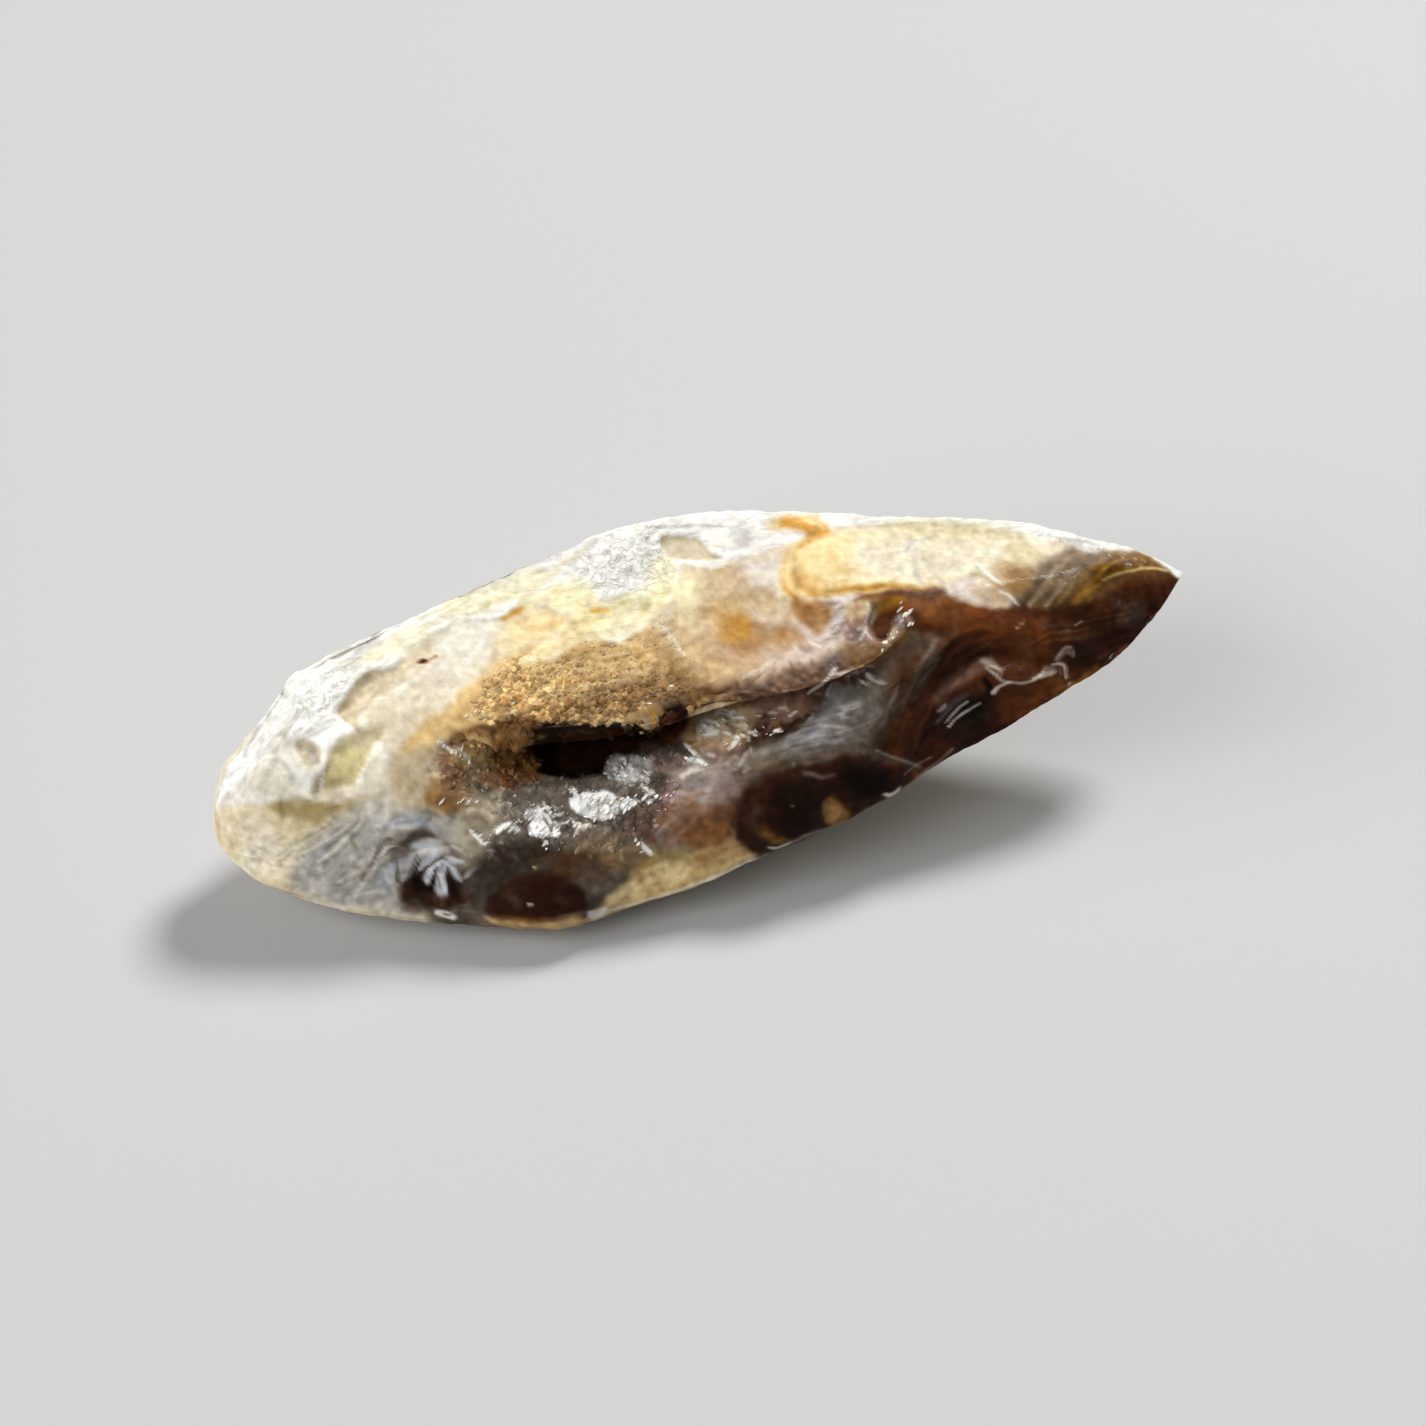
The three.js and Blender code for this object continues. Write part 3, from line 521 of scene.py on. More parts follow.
    ("rust", 6, 0.25, [(436, 790), (458, 786), (462, 806), (440, 812)]),
    ("rust", 7, 0.55, [(440, 752), (468, 742), (446, 772)]),
    (("ivory", "sand", "tan"), 1.2, 0.6, [(398, 756), (404, 752)], [(470, 800), (478, 790)], 9, 1),
    # The frosted tan slope over the slit.
    ("honey", 7, 1, [(505, 655), (560, 645), (455, 735), (430, 748), (398, 756), (404, 738),
     (442, 710)]),
    ("tan", 6, 1, [(484, 682), (502, 662), (525, 652), (582, 640), (606, 640), (650, 622),
     (668, 640), (688, 672), (706, 688), (690, 705), (660, 722), (480, 726), (462, 716)]),
    ("honey", 8, 0.5, [(540, 655), (640, 635), (660, 650), (640, 672), (530, 672)]),
    (("caramel", "olive", "honey", "butter", "caramel"), 2.4, 0.42, [(486, 686), (540, 664),
     (600, 648), (656, 636)], [(500, 722), (560, 722), (620, 722), (690, 700)], 36, 1.8),
    ("honey", 6, 0.85, [(448, 736), (462, 708), (484, 690), (520, 684), (536, 706), (490, 728),
     (460, 732)]),
    ("honey", 10, 0.45, [(520, 672), (572, 672), (580, 696), (490, 712)]),
    ("walnut", 10, 0.4, [(616, 692), (648, 674), (704, 676), (706, 696), (626, 708)]),
    (("honey", "butter", "caramel", "sand", "walnut", "tan"), 1.6, 0.4, [(486, 690), (520, 660),
     (600, 645), (652, 630), (700, 690), (680, 704), (560, 714), (500, 716)], 80, 2.3),
    (("peach", "honey", "sand", "butter"), 1.4, 0.75, [(450, 736), (472, 714), (510, 700),
     (560, 698), (640, 700), (650, 712), (600, 717), (540, 716), (500, 722), (458, 740)], 34, 2.4),
    ("walnut", 9, 0.34, [(552, 702), (600, 696), (660, 694), (700, 682), (708, 700), (660, 720),
     (556, 724)]),
    ("honey", 9, 0.55, [(484, 680), (504, 658), (536, 650), (540, 684), (504, 692)]),
    ("tan", 9, 0.5, [(450, 716), (476, 696), (490, 706), (478, 724), (456, 730)]),
    ("walnut", 9, 0.25, [(590, 680), (650, 676), (654, 700), (590, 700)]),
    ("walnut", 8, 0.3, [(604, 698), (660, 692), (660, 718), (606, 722)]),
    ("walnut", 8, 0.25, [(554, 700), (586, 698), (588, 720), (556, 722)]),
    ("caramel", 8, 0.4, [(490, 698), (526, 690), (532, 718), (500, 722)]),
    (("caramel", "honey", "walnut", "tan"), 1.4, 0.6, [(552, 700), (640, 694), (700, 684),
     (700, 706), (650, 722), (556, 722)], 34, 2),
    ("honey", 1.4, 0.6, [(560, 719, 1.4), (572, 718, 1.6), (584, 719, 1.2), (594, 724, 1.6),
     (606, 723, 1.8), (618, 720, 1.4), (630, 725, 1.8), (644, 726, 2), (651, 731, 1.8)]),
    ("gold", 2, 0.6, [(652, 712, 2.5), (654, 722, 2.5), (652, 731, 1.6)]),
    ("umber", 7, 0.6, [(652, 696), (690, 688), (694, 702), (660, 710)]),
    ("peach", 8, 0.8, [(505, 620), (528, 606), (562, 614), (566, 632), (512, 654), (492, 646)]),
    ("honey", 9, 0.5, [(530, 612), (562, 618), (560, 634), (538, 640), (520, 630)]),
    ("gold", 3, 0.9, [(503, 619, 2), (514, 612, 3), (524, 606, 1.5)]),
    ("ivory", 2, 0.85, [(524, 660, 1), (538, 655, 3), (552, 655, 3.5)]),
    # The right part of the slope runs up to the rind through mealy cream.
    ("butter", 9, 0.6, [(684, 568), (708, 574), (696, 650), (678, 600)]),
    ("tan", 8, 0.5, [(664, 612), (690, 620), (698, 670), (680, 668)]),
    ("peach", 2, 0.7, [(676, 590, 1), (682, 610, 1.8), (680, 626, 1.4)]),
    ("ivory", 1.6, 0.8, [(668, 632, 1), (676, 644, 1.8), (684, 656, 1.2)]),
    # The clouded fan.
    ("lilac", 9, 1, [(706, 575), (760, 560), (790, 556), (830, 600), (866, 592), (842, 650),
     (810, 672), (700, 686)]),
    ("honey", 8, 0.65, [(706, 590), (742, 586), (750, 612), (748, 640), (712, 640)]),
    ("amber", 6, 0.75, [(710, 624), (728, 618), (748, 620), (752, 632), (742, 644), (722, 642)]),
    ("caramel", 6, 0.6, [(722, 640), (748, 642), (748, 654), (736, 658)]),
    ("ivory", 6, 0.6, [(745, 572), (772, 566), (800, 622), (760, 622), (746, 606)]),
    ("tan", 4, 0.45, [(746, 594), (752, 588), (762, 586), (774, 592), (780, 606), (776, 616),
     (762, 616), (752, 606)]),
    ("caramel", 1.6, 0.4, [(746, 598, 0.8), (752, 607, 1.2), (756, 614, 1)]),
    ("tan", 6, 0.6, [(748, 636), (778, 626), (806, 640), (796, 646), (750, 650)]),
    ("caramel", 2, 0.4, [(770, 631, 0.8), (778, 627, 1.4), (802, 638, 0.8)]),
    ("tan", 12, 0.45, [(700, 650), (800, 662), (836, 650), (812, 674), (700, 688)]),
    ("tan", 10, 0.55, [(700, 566), (744, 566), (752, 600), (740, 622), (704, 620)]),
    ("fawn", 12, 0.35, [(760, 650), (842, 628), (836, 656), (760, 690)]),
    ("cream", 9, 0.4, [(704, 580), (736, 578), (742, 612), (712, 616)]),
    ("tan", 6, 0.4, [(748, 594), (762, 588), (776, 596), (776, 612), (758, 614)]),
    ("tan", 12, 0.45, [(700, 650), (770, 664), (760, 692), (700, 692)]),
    ("caramel", 10, 0.5, [(732, 622), (760, 614), (800, 624), (808, 646), (776, 658), (740, 660)]),
    ("tan", 12, 0.6, [(684, 640), (720, 634), (744, 674), (700, 694), (682, 680)]),
    ("honey", 12, 0.5, [(700, 612), (734, 608), (740, 640), (702, 644)]),
    ("walnut", 9, 0.5, [(674, 664), (704, 668), (716, 698), (668, 692)]),
    ("caramel", 12, 0.4, [(714, 634), (776, 630), (784, 662), (714, 670)]),
    ("caramel", 12, 0.35, [(694, 606), (732, 604), (734, 642), (696, 644)]),
    ("gold", 6, 0.6, [(720, 622), (748, 620), (752, 634), (738, 644), (720, 642)]),
    ("tan", 9, 0.5, [(776, 598), (804, 602), (806, 622), (780, 622)]),
    ("lilac", 9, 0.4, [(756, 648), (800, 648), (812, 664), (770, 674)]),
    (("fawn", "lilac", "ash", "ivory"), 1.5, 0.4, [(742, 690), (752, 672), (772, 656)], [(846, 634),
     (834, 640), (812, 640)], 18, 1.4),
    # Teeth of the dark band that reach up into the fan.
    ("mauve", 2.5, 0.7, [(762, 692, 4), (772, 678, 2.4), (774, 670, 1)]),
    ("ash", 2.5, 0.75, [(792, 684, 4), (792, 672, 2.4), (790, 664, 1)], [(808, 676, 3),
     (804, 668, 1.6)]),
    ("ash", 3, 0.7, [(826, 668, 4), (846, 650, 2)]),
    ("lilac", 2, 0.6, [(778, 670, 1.6), (783, 678, 1.2)]),
    # Cream-yellow heart with its rust-stained hook.
    ("peach", 5, 1, [(797, 548), (830, 533), (905, 530), (1004, 538), (975, 584), (830, 592),
     (806, 584), (795, 566)]),
    ("honey", 12, 0.45, [(798, 546), (840, 540), (856, 560), (850, 584), (816, 592), (798, 574)]),
    ("linen", 16, 1.15, [(862, 530), (1010, 534), (1012, 580), (884, 582), (858, 562)]),
    ("straw", 8, 0.4, [(870, 524), (1004, 532), (990, 542), (900, 540)]),
    (("bone", "fog", "ivory", "straw"), 2, 0.3, [(880, 536), (1000, 538), (1004, 572), (940, 582),
     (880, 574)], 34, 2),
    ("fog", 2, 0.7, [(906, 552, 1.4), (911, 544, 2), (920, 539, 1.4), (936, 536, 1)]),
    ("fog", 3, 0.6, [(924, 584, 1.4), (914, 570, 1.6), (914, 552, 1)]),
    ("fog", 3, 0.5, [(944, 584, 1.4), (926, 568, 1.6), (922, 552, 1)]),
    ("peach", 7, 0.95, [(822, 536, 5), (798, 544, 6), (786, 560, 7), (784, 578, 7), (794, 592, 6),
     (816, 602, 4)]),
    ("honey", 6, 0.7, [(812, 540, 4), (800, 549, 5), (796, 563, 5), (808, 590, 5), (825, 594, 4)]),
    ("gold", 3, 0.5, [(816, 536, 4), (804, 541, 3), (795, 551, 2), (791, 566, 2), (795, 579, 2.4),
     (804, 590, 2.4), (818, 596, 2.4), (832, 597, 1.4)]),
    ("honey", 3, 0.9, [(788, 550, 1.4), (781, 566, 2), (782, 582, 3), (790, 596, 3)]),
    ("gold", 2, 0.6, [(784, 584, 1), (790, 594, 2), (798, 600, 2)]),
    ("gold", 4, 0.9, [(826, 592, 2), (850, 588, 3.4), (880, 587, 4), (905, 588, 4), (935, 591, 3)]),
    ("rust", 3, 0.75, [(858, 596, 2), (880, 596, 3.5), (940, 597, 6)]),
    ("amber", 7, 0.3, [(782, 572), (800, 572), (828, 590), (814, 602), (788, 600)]),
    ("lilac", 2, 0.8, [(806, 598, 1), (830, 600, 1.4), (862, 595, 1.2)]),
    # Brown teeth and streaks under the hook.
    ("caramel", 6, 0.85, [(793, 600), (812, 601), (838, 603), (836, 612), (824, 624), (820, 636),
     (806, 626), (798, 616)]),
    (("lilac", "tan", "fog", "mauve"), 1.5, 0.7, [(822, 604), (840, 602), (858, 599)], [(820, 644),
     (836, 634), (852, 618)], 13, 1.6),
    ("fawn", 4, 0.95, [(846, 602), (880, 596), (884, 640), (872, 652), (850, 650), (842, 636)]),
    ("rust", 2, 0.7, [(856, 600, 1.6), (858, 612, 2.4), (854, 624, 1.4)]),
    ("caramel", 3, 0.8, [(862, 597, 2), (880, 598, 4)]),
    ("chestnut", 1.6, 0.8, [(872, 604, 3), (876, 610, 2)]),
    ("lilac", 1.2, 0.9, [(868, 602, 1), (870, 612, 2.2), (866, 622, 1.2)]),
    ("lilac", 1.2, 0.8, [(878, 606, 1), (874, 616, 1.6), (872, 622, 1)]),
    # Red-brown banded end, dark and glassy, out to the tip.
    ("chestnut", 5, 1, [(880, 594), (905, 590), (945, 590), (1012, 612), (1032, 600), (1150, 566),
     (1190, 578), (1172, 606), (1152, 640), (1112, 668), (1062, 700), (1010, 735), (960, 750),
     (920, 780), (870, 812), (878, 760), (905, 680), (928, 630), (880, 612)]),
    ("rust", 7, 0.65, [(900, 596), (950, 596), (1000, 612), (980, 618), (940, 628), (905, 618)]),
    ("caramel", 8, 0.35, [(896, 596), (960, 594), (1000, 606), (940, 622), (905, 614)]),
    ("umber", 6, 0.65, [(926, 660), (950, 640), (985, 632), (1012, 640), (1020, 664), (985, 652),
     (888, 775)]),
    ("umber", 7, 0.9, [(1120, 600), (1160, 596), (1152, 632), (1112, 662), (1076, 672),
     (1058, 640)]),
    ("umber", 9, 0.85, [(930, 760), (940, 705), (985, 690), (1040, 692), (1010, 732)]),
    ("coal", 9, 0.8, [(936, 744), (946, 705), (980, 695), (1000, 712), (970, 742)]),
    ("rust", 9, 0.5, [(1000, 690), (1060, 692), (1020, 722), (1000, 716)]),
    ("umber", 8, 0.6, [(930, 690), (940, 738), (1010, 724), (990, 744), (930, 772), (884, 776)]),
    (("umber", "rust", "coal", "chestnut", "umber"), 2.4, 0.5, [(886, 776), (902, 716), (924, 668),
     (950, 638), (988, 624), (1016, 632)], [(930, 764), (936, 722), (950, 690), (976, 668),
     (1000, 654), (1018, 660)], 17, 2.2),
    (("rust", "umber", "chestnut", "caramel"), 2, 0.55, [(1008, 618), (1040, 604), (1080, 598),
     (1120, 588), (1164, 578)], [(1020, 662), (1050, 644), (1086, 640), (1122, 628), (1156, 616)],
     16, 2.2),
    (("umber", "chestnut", "coal", "rust"), 2, 0.5, [(1022, 670), (1050, 662), (1080, 650),
     (1110, 636), (1150, 612)], [(1040, 704), (1064, 692), (1090, 674), (1120, 654), (1152, 630)],
     9, 2),
    ("rust", 6, 0.45, [(1108, 584), (1150, 576), (1168, 582), (1110, 604)]),
    ("gold", 6, 0.5, [(1056, 694, 3), (1076, 684, 4), (1096, 668, 3)]),
    ("rust", 12, 0.4, [(960, 604), (1020, 618), (1060, 606), (1060, 640), (1010, 664), (960, 636)]),
    ("umber", 8, 0.5, [(928, 678), (966, 662), (976, 690), (940, 708)]),
    ("umber", 8, 0.6, [(1040, 612), (1090, 600), (1130, 586), (1172, 578), (1150, 616), (1110, 650),
     (1060, 660)]),
    ("coal", 9, 0.4, [(1060, 640), (1160, 590), (1150, 620), (1110, 654), (1066, 676)]),
    ("ash", 6, 0.25, [(1120, 606), (1150, 600), (1140, 620), (1116, 628)]),
    # Wisps that float in the brown.
    ("mauve", 6, 0.55, [(935, 700, 3), (958, 680, 6), (978, 666, 6), (992, 662, 4)]),
    ("fog", 3, 0.6, [(982, 662, 3), (994, 664, 3), (1002, 672, 1.6)]),
    ("coal", 2.5, 0.95, [(984, 680, 3), (990, 686, 4), (992, 694, 3)]),
    ("fog", 1.6, 0.9, [(986, 668, 0.8), (996, 674, 1.6), (1004, 680, 1.6), (1018, 683, 1),
     (1034, 680, 1.4)]),
    ("lilac", 1.6, 0.9, [(994, 692, 2.6), (1000, 685, 1.8), (1010, 681, 1)]),
    ("fog", 1.8, 0.8, [(1034, 679, 1.4), (1046, 675, 3), (1054, 671, 3)]),
    ("lilac", 1.4, 0.8, [(1052, 664, 1.2), (1060, 663, 1.8), (1066, 668, 1.8), (1066, 677, 1.4)]),
    ("mauve", 2, 0.85, [(1046, 668, 2), (1056, 668, 3), (1060, 674, 2)]),
    ("mauve", 3, 0.8, [(1058, 658, 3), (1064, 650, 4), (1072, 654, 3)]),
    ("fog", 1.4, 0.6, [(1056, 660, 1), (1062, 648, 1.2), (1072, 646, 1), (1074, 656, 1)]),
    ("umber", 2, 0.7, [(1056, 668, 1.5), (1058, 676, 1.5)]),
    ("bone", 1.4, 0.8, [(946, 722, 0.8), (956, 709, 1.2), (968, 701, 0.8)]),
    ("bone", 1.4, 0.75, [(948, 727, 0.8), (962, 712, 1.2), (980, 703, 0.8)]),
    ("fog", 2, 0.7, [(938, 710, 2), (944, 706, 2)]),
    ("slate", 3, 0.6, [(936, 722, 2), (950, 706, 3), (966, 694, 2)]),
    ("tan", 1.2, 0.8, [(1016, 629, 0.8), (1024, 621, 0.8)]),
    ("fog", 1.2, 0.6, [(1075, 625, 0.8), (1082, 621, 0.8)]),
    # Olive patch, agate ribbons and the gold band on the way to the tip.
    ("straw", 6, 0.6, [(1004, 540), (1016, 532), (1042, 540), (1046, 560), (1022, 594), (1000, 570),
     (1010, 558)]),
    ("caramel", 7, 0.6, [(1004, 568), (1034, 566), (1036, 582), (1022, 596), (1008, 584)]),
    ("ivory", 6, 0.8, [(1022, 522), (1044, 528), (1052, 544), (1036, 550), (1024, 544)]),
    ("walnut", 5, 0.95, [(1022, 604), (1036, 580), (1046, 562), (1064, 550), (1104, 550),
     (1142, 551), (1170, 562), (1178, 578), (1150, 575), (1120, 586), (1092, 602), (1056, 610)]),
    ("ash", 7, 0.8, [(1036, 570), (1050, 556), (1072, 548), (1098, 550), (1094, 562), (1044, 604),
     (1026, 602)]),
    ("sand", 2.4, 0.6, [(1030, 604, 2), (1044, 588, 3), (1054, 570, 3), (1070, 558, 3),
     (1090, 551, 2)]),
    ("fog", 2.2, 0.55, [(1046, 605, 1.5), (1060, 588, 2.6), (1072, 572, 2.6), (1088, 562, 2)]),
    ("olive", 2.4, 0.6, [(1056, 606, 1.4), (1086, 571, 3), (1104, 558, 2.4)]),
    ("gold", 3, 0.6, [(1074, 602, 2), (1110, 567, 5)]),
    ("umber", 2, 0.6, [(1098, 588, 1), (1116, 574, 1.6), (1156, 564, 1)]),
    ("honey", 1.6, 0.75, [(1100, 580, 0.8), (1134, 569, 1.6), (1150, 567, 1.5), (1168, 571, 1)]),
    ("walnut", 8, 0.35, [(1008, 572), (1084, 548), (1100, 552), (1080, 580), (1050, 604),
     (1016, 596)]),
    ("bronze", 4, 0.8, [(1088, 580), (1100, 560), (1120, 552), (1150, 553), (1170, 564),
     (1140, 566), (1116, 575), (1098, 588)]),
    ("walnut", 7, 0.3, [(1060, 556), (1100, 546), (1070, 576)]),
    ("gold", 2, 0.6, [(1100, 572, 1), (1116, 561, 2), (1136, 556, 1.6), (1152, 560, 1)]),
    ("honey", 1.6, 0.6, [(1104, 580, 0.8), (1120, 574, 1.4), (1136, 569, 1.5), (1152, 567, 1.4),
     (1168, 571, 1)]),
    (("umber", "gold", "olive", "smoke", "sand"), 1.8, 0.3, [(1030, 602), (1044, 580), (1056, 560),
     (1074, 548)], [(1092, 600), (1110, 582), (1132, 571), (1160, 566)], 12, 1.7),
    ("bronze", 3, 0.6, [(1108, 566), (1126, 557), (1152, 557), (1164, 565), (1138, 567),
     (1118, 572)]),
    ("walnut", 5, 0.5, [(1076, 564), (1092, 553), (1106, 555), (1092, 574)]),
    # The three-cornered chip.
    ("honey", 4, 0.6, [(958, 584), (1014, 598), (1006, 610), (984, 606), (960, 602)]),
    ("lilac", 4, 0.85, [(944, 590), (968, 574), (1004, 588), (1018, 600), (1008, 608), (984, 608),
     (956, 602)]),
    ("tan", 9, 0.4, [(972, 578), (1004, 582), (1024, 598), (1004, 610), (972, 602)]),
    ("sand", 10, 0.6, [(974, 556), (1008, 558), (1012, 580), (984, 582)]),
    ("caramel", 9, 0.45, [(994, 562), (1022, 560), (1028, 592), (1004, 604), (994, 590)]),
    ("chalk", 1.5, 0.9, [(976, 562, 0.6), (984, 571, 1.2), (996, 579, 1.6), (1004, 584, 0.8)]),
    ("chalk", 1.5, 0.8, [(1000, 590, 1), (1012, 596, 1.8), (1018, 604, 1)]),
    ("olive", 2.4, 0.4, [(972, 575, 1), (984, 574, 1.4), (996, 583, 1)]),
    # Dark mealy band under the fan.
    ("umber", 8, 0.9, [(680, 700), (700, 686), (760, 682), (800, 671), (834, 656), (860, 648),
     (880, 654), (880, 664), (812, 716), (784, 744), (694, 744), (678, 726)]),
    ("mauve", 12, 0.3, [(690, 700), (760, 690), (850, 656), (850, 680), (790, 735), (700, 740)]),
    ("caramel", 14, 0.25, [(700, 690), (760, 686), (840, 656), (800, 700), (740, 716)]),
    (("chestnut", "mauve", "umber", "ash", "caramel", "fawn", "caramel"), 1.5, 0.6, [(682, 702),
     (700, 688), (760, 684), (800, 674), (846, 654), (876, 652), (850, 684), (812, 716), (784, 744),
     (730, 746), (694, 744)], 90, 2.2),
    (("mauve", "umber", "fawn"), 2.2, 0.4, [(700, 678), (760, 672), (800, 662), (840, 644),
     (848, 654), (800, 680), (750, 688), (700, 688)], 22, 2),
    # Tan and sand laid lighter than the stone's own colour, to lift the shade under the ledge here: painted
    # light.
    ("tan", 7, 0.95, [(680, 706), (716, 696), (756, 702), (756, 724), (738, 748), (700, 750),
     (682, 738)]),
    ("sand", 9, 0.75, [(690, 714), (716, 704), (756, 704), (752, 722), (738, 740), (696, 740)]),
    ("walnut", 5, 0.8, [(686, 692), (714, 688), (720, 698), (704, 708), (688, 708)]),
    ("fawn", 9, 0.5, [(748, 700), (800, 690), (812, 702), (794, 722), (756, 728)]),
    (("walnut", "umber", "fawn", "tan", "sand", "mauve"), 1.5, 0.5, [(682, 700), (750, 694),
     (806, 686), (804, 714), (760, 738), (704, 750), (684, 738)], 54, 2),
    # Blue-grey swirls.
    ("ash", 7, 0.95, [(700, 766), (788, 744), (810, 720), (830, 694), (872, 680), (900, 658),
     (934, 626), (940, 650), (916, 680), (860, 752), (822, 758), (742, 782), (704, 782)]),
    ("smoke", 6, 0.7, [(892, 660), (930, 634), (944, 640), (874, 708)]),
    ("smoke", 5, 0.6, [(838, 690), (880, 680), (896, 686), (884, 716)]),
    (("fog", "pewter", "smoke", "slate", "fog"), 1.8, 0.6, [(872, 736), (886, 710), (898, 690),
     (916, 664), (938, 634)], [(890, 742), (904, 714), (918, 690), (936, 664), (952, 638)], 9, 2),
    ("fog", 3, 0.3, [(902, 690, 1.4), (936, 640, 2)]),
    ("chestnut", 6, 0.5, [(880, 700), (900, 668), (924, 650), (914, 690), (890, 730)]),
    ("pewter", 8, 0.7, [(812, 736, 5), (838, 704, 12), (860, 700, 10), (872, 716, 5)]),
    ("slate", 5, 0.5, [(806, 732, 4), (816, 716, 6), (836, 690, 3)]),
    (("fog", "pewter", "slate", "smoke"), 1.8, 0.6, [(836, 730), (832, 712), (846, 698), (866, 700),
     (868, 716), (854, 722)], [(846, 722), (844, 714), (850, 708), (858, 708), (858, 714),
     (854, 717)], 5, 1.6),
    (("fog", "lilac", "mauve", "pewter", "ash", "fog"), 1.7, 0.6, [(656, 770), (690, 756),
     (726, 760), (764, 748), (800, 737), (822, 728)], [(664, 796), (704, 786), (740, 778),
     (780, 768), (806, 758), (832, 752)], 20, 1.7),
    ("pearl", 2.4, 0.4, [(762, 757, 1), (804, 740, 3), (815, 733, 2)]),
    ("pearl", 2, 0.5, [(788, 738, 1), (806, 738, 1.6), (815, 733, 2.4)], [(820, 738, 2),
     (830, 742, 1.8), (846, 742, 2)]),
    ("pearl", 2.4, 0.5, [(842, 740, 2), (852, 742, 2.4), (858, 750, 2.4), (862, 752, 2)]),
    ("fog", 1.8, 0.7, [(840, 734, 1), (858, 728, 1.8), (872, 722, 1.2), (880, 716, 0.8)]),
    ("fog", 1.8, 0.6, [(838, 708, 1), (846, 704, 1.6), (856, 706, 1)]),
    ("pearl", 1.8, 0.6, [(842, 716, 1.2), (850, 720, 1.6), (858, 712, 1)]),
    (("pearl", "fog", "slate", "fog", "pewter"), 1.5, 0.45, [(764, 766), (790, 754), (816, 744),
     (846, 748), (864, 758)], [(770, 748), (796, 734), (820, 722), (850, 728), (878, 738)], 16,
     1.3),
    ("fog", 1.6, 0.6, [(826, 696, 1), (829, 688, 2), (833, 684, 1)]),
    ("smoke", 2, 0.7, [(762, 772, 1.2), (792, 762, 1.8), (820, 758, 1.4)]),
    ("bone", 1.4, 0.8, [(808, 694, 1), (814, 689, 2), (826, 682, 1.4), (836, 668, 1.4)]),
    ("bone", 1.4, 0.7, [(832, 674, 1), (846, 672, 1.4), (858, 666, 1), (872, 666, 0.8)]),
    ("fog", 1.4, 0.6, [(848, 676, 1), (856, 672, 1.4), (864, 670, 1)]),
    ("lilac", 1.8, 0.8, [(867, 675, 2.4), (873, 679, 2)]),
    ("chalk", 1.2, 0.8, [(858, 680, 0.7), (864, 682, 1.2), (869, 684, 0.8)]),
    ("bone", 1.4, 0.7, [(878, 681, 1.4), (885, 683, 1.4)]),
    ("fog", 2, 0.6, [(884, 722, 1), (889, 706, 1.6), (898, 684, 1.4)]),
    ("chestnut", 10, 0.35, [(880, 660), (930, 628), (942, 648), (905, 692), (888, 692)]),
    (("pearl", "smoke", "fog", "ash", "umber", "slate"), 1.6, 0.4, [(816, 700), (850, 682),
     (888, 682), (884, 716), (864, 748), (830, 744), (800, 742)], 44, 2.1),
    ("smoke", 9, 0.55, [(856, 700), (884, 690), (904, 698), (872, 758), (846, 758)]),
    ("umber", 9, 0.55, [(882, 716), (912, 690), (926, 700), (884, 762), (872, 748)]),
    ("umber", 10, 0.3, [(806, 752), (840, 742), (866, 748), (806, 766)]),
    ("smoke", 10, 0.35, [(730, 762), (800, 738), (834, 742), (784, 772), (734, 784)]),
    ("smoke", 8, 0.3, [(836, 690), (868, 684), (872, 710), (840, 712)]),
    ("umber", 8, 0.35, [(854, 742), (884, 736), (888, 762), (856, 764)]),
    ("walnut", 9, 0.3, [(720, 762), (790, 746), (780, 772), (730, 780)]),
    ("fawn", 6, 0.5, [(694, 746), (716, 738), (742, 744), (736, 760), (704, 764)]),
    (("lilac", "sand", "fawn", "fog", "mauve"), 1.6, 0.5, [(688, 752), (712, 742), (752, 744),
     (756, 766), (720, 784), (690, 780)], 34, 2),
    ("lilac", 6, 0.55, [(666, 766), (690, 758), (706, 764), (708, 784), (666, 788)]),
    ("fawn", 7, 0.4, [(700, 764), (726, 760), (728, 782), (702, 786)]),
    # Dark domes along the lower edge, with light shining through between them.
    ("mauve", 8, 1, [(636, 792), (668, 776), (704, 778), (744, 782), (742, 812), (736, 846),
     (690, 858), (640, 850)]),
    ("fog", 7, 0.5, [(676, 778), (712, 770), (740, 786), (720, 800), (684, 798)]),
    (("lilac", "tan", "mauve", "ash", "rust", "mauve"), 2.2, 0.45, [(646, 838), (662, 812),
     (682, 800), (712, 792), (738, 794)], [(660, 866), (690, 846), (704, 836), (722, 832),
     (738, 836)], 16, 2),
    ("caramel", 6, 0.75, [(690, 824), (716, 816), (736, 826), (734, 846), (696, 850), (682, 842)]),
    ("lilac", 3, 0.5, [(680, 834, 1.4), (692, 824, 3), (702, 808, 3)]),
    ("olive", 8, 1, [(604, 908), (612, 872), (640, 850), (668, 850), (740, 848), (756, 856),
     (650, 904), (600, 922)]),
    ("gold", 5, 0.6, [(632, 872), (648, 856), (656, 866)]),
    ("honey", 3, 0.95, [(650, 884), (650, 870), (658, 864), (666, 870), (708, 866), (716, 874),
     (690, 888), (660, 900)]),
    ("tan", 8, 0.6, [(616, 904), (640, 868), (748, 848), (756, 858), (650, 902)]),
    ("tan", 5, 0.8, [(690, 868, 4), (744, 850, 3)]),
    ("sand", 3, 0.6, [(700, 882, 2), (748, 858, 2)]),
    ("caramel", 4, 0.6, [(700, 860, 3), (738, 844, 3)]),
    ("bone", 2, 0.6, [(690, 890, 1), (722, 877, 1.5), (752, 860, 1)]),
    ("lilac", 9, 0.25, [(664, 790), (706, 786), (706, 826), (672, 832)]),
    ("rust", 9, 0.35, [(694, 804), (736, 800), (738, 844), (690, 846)]),
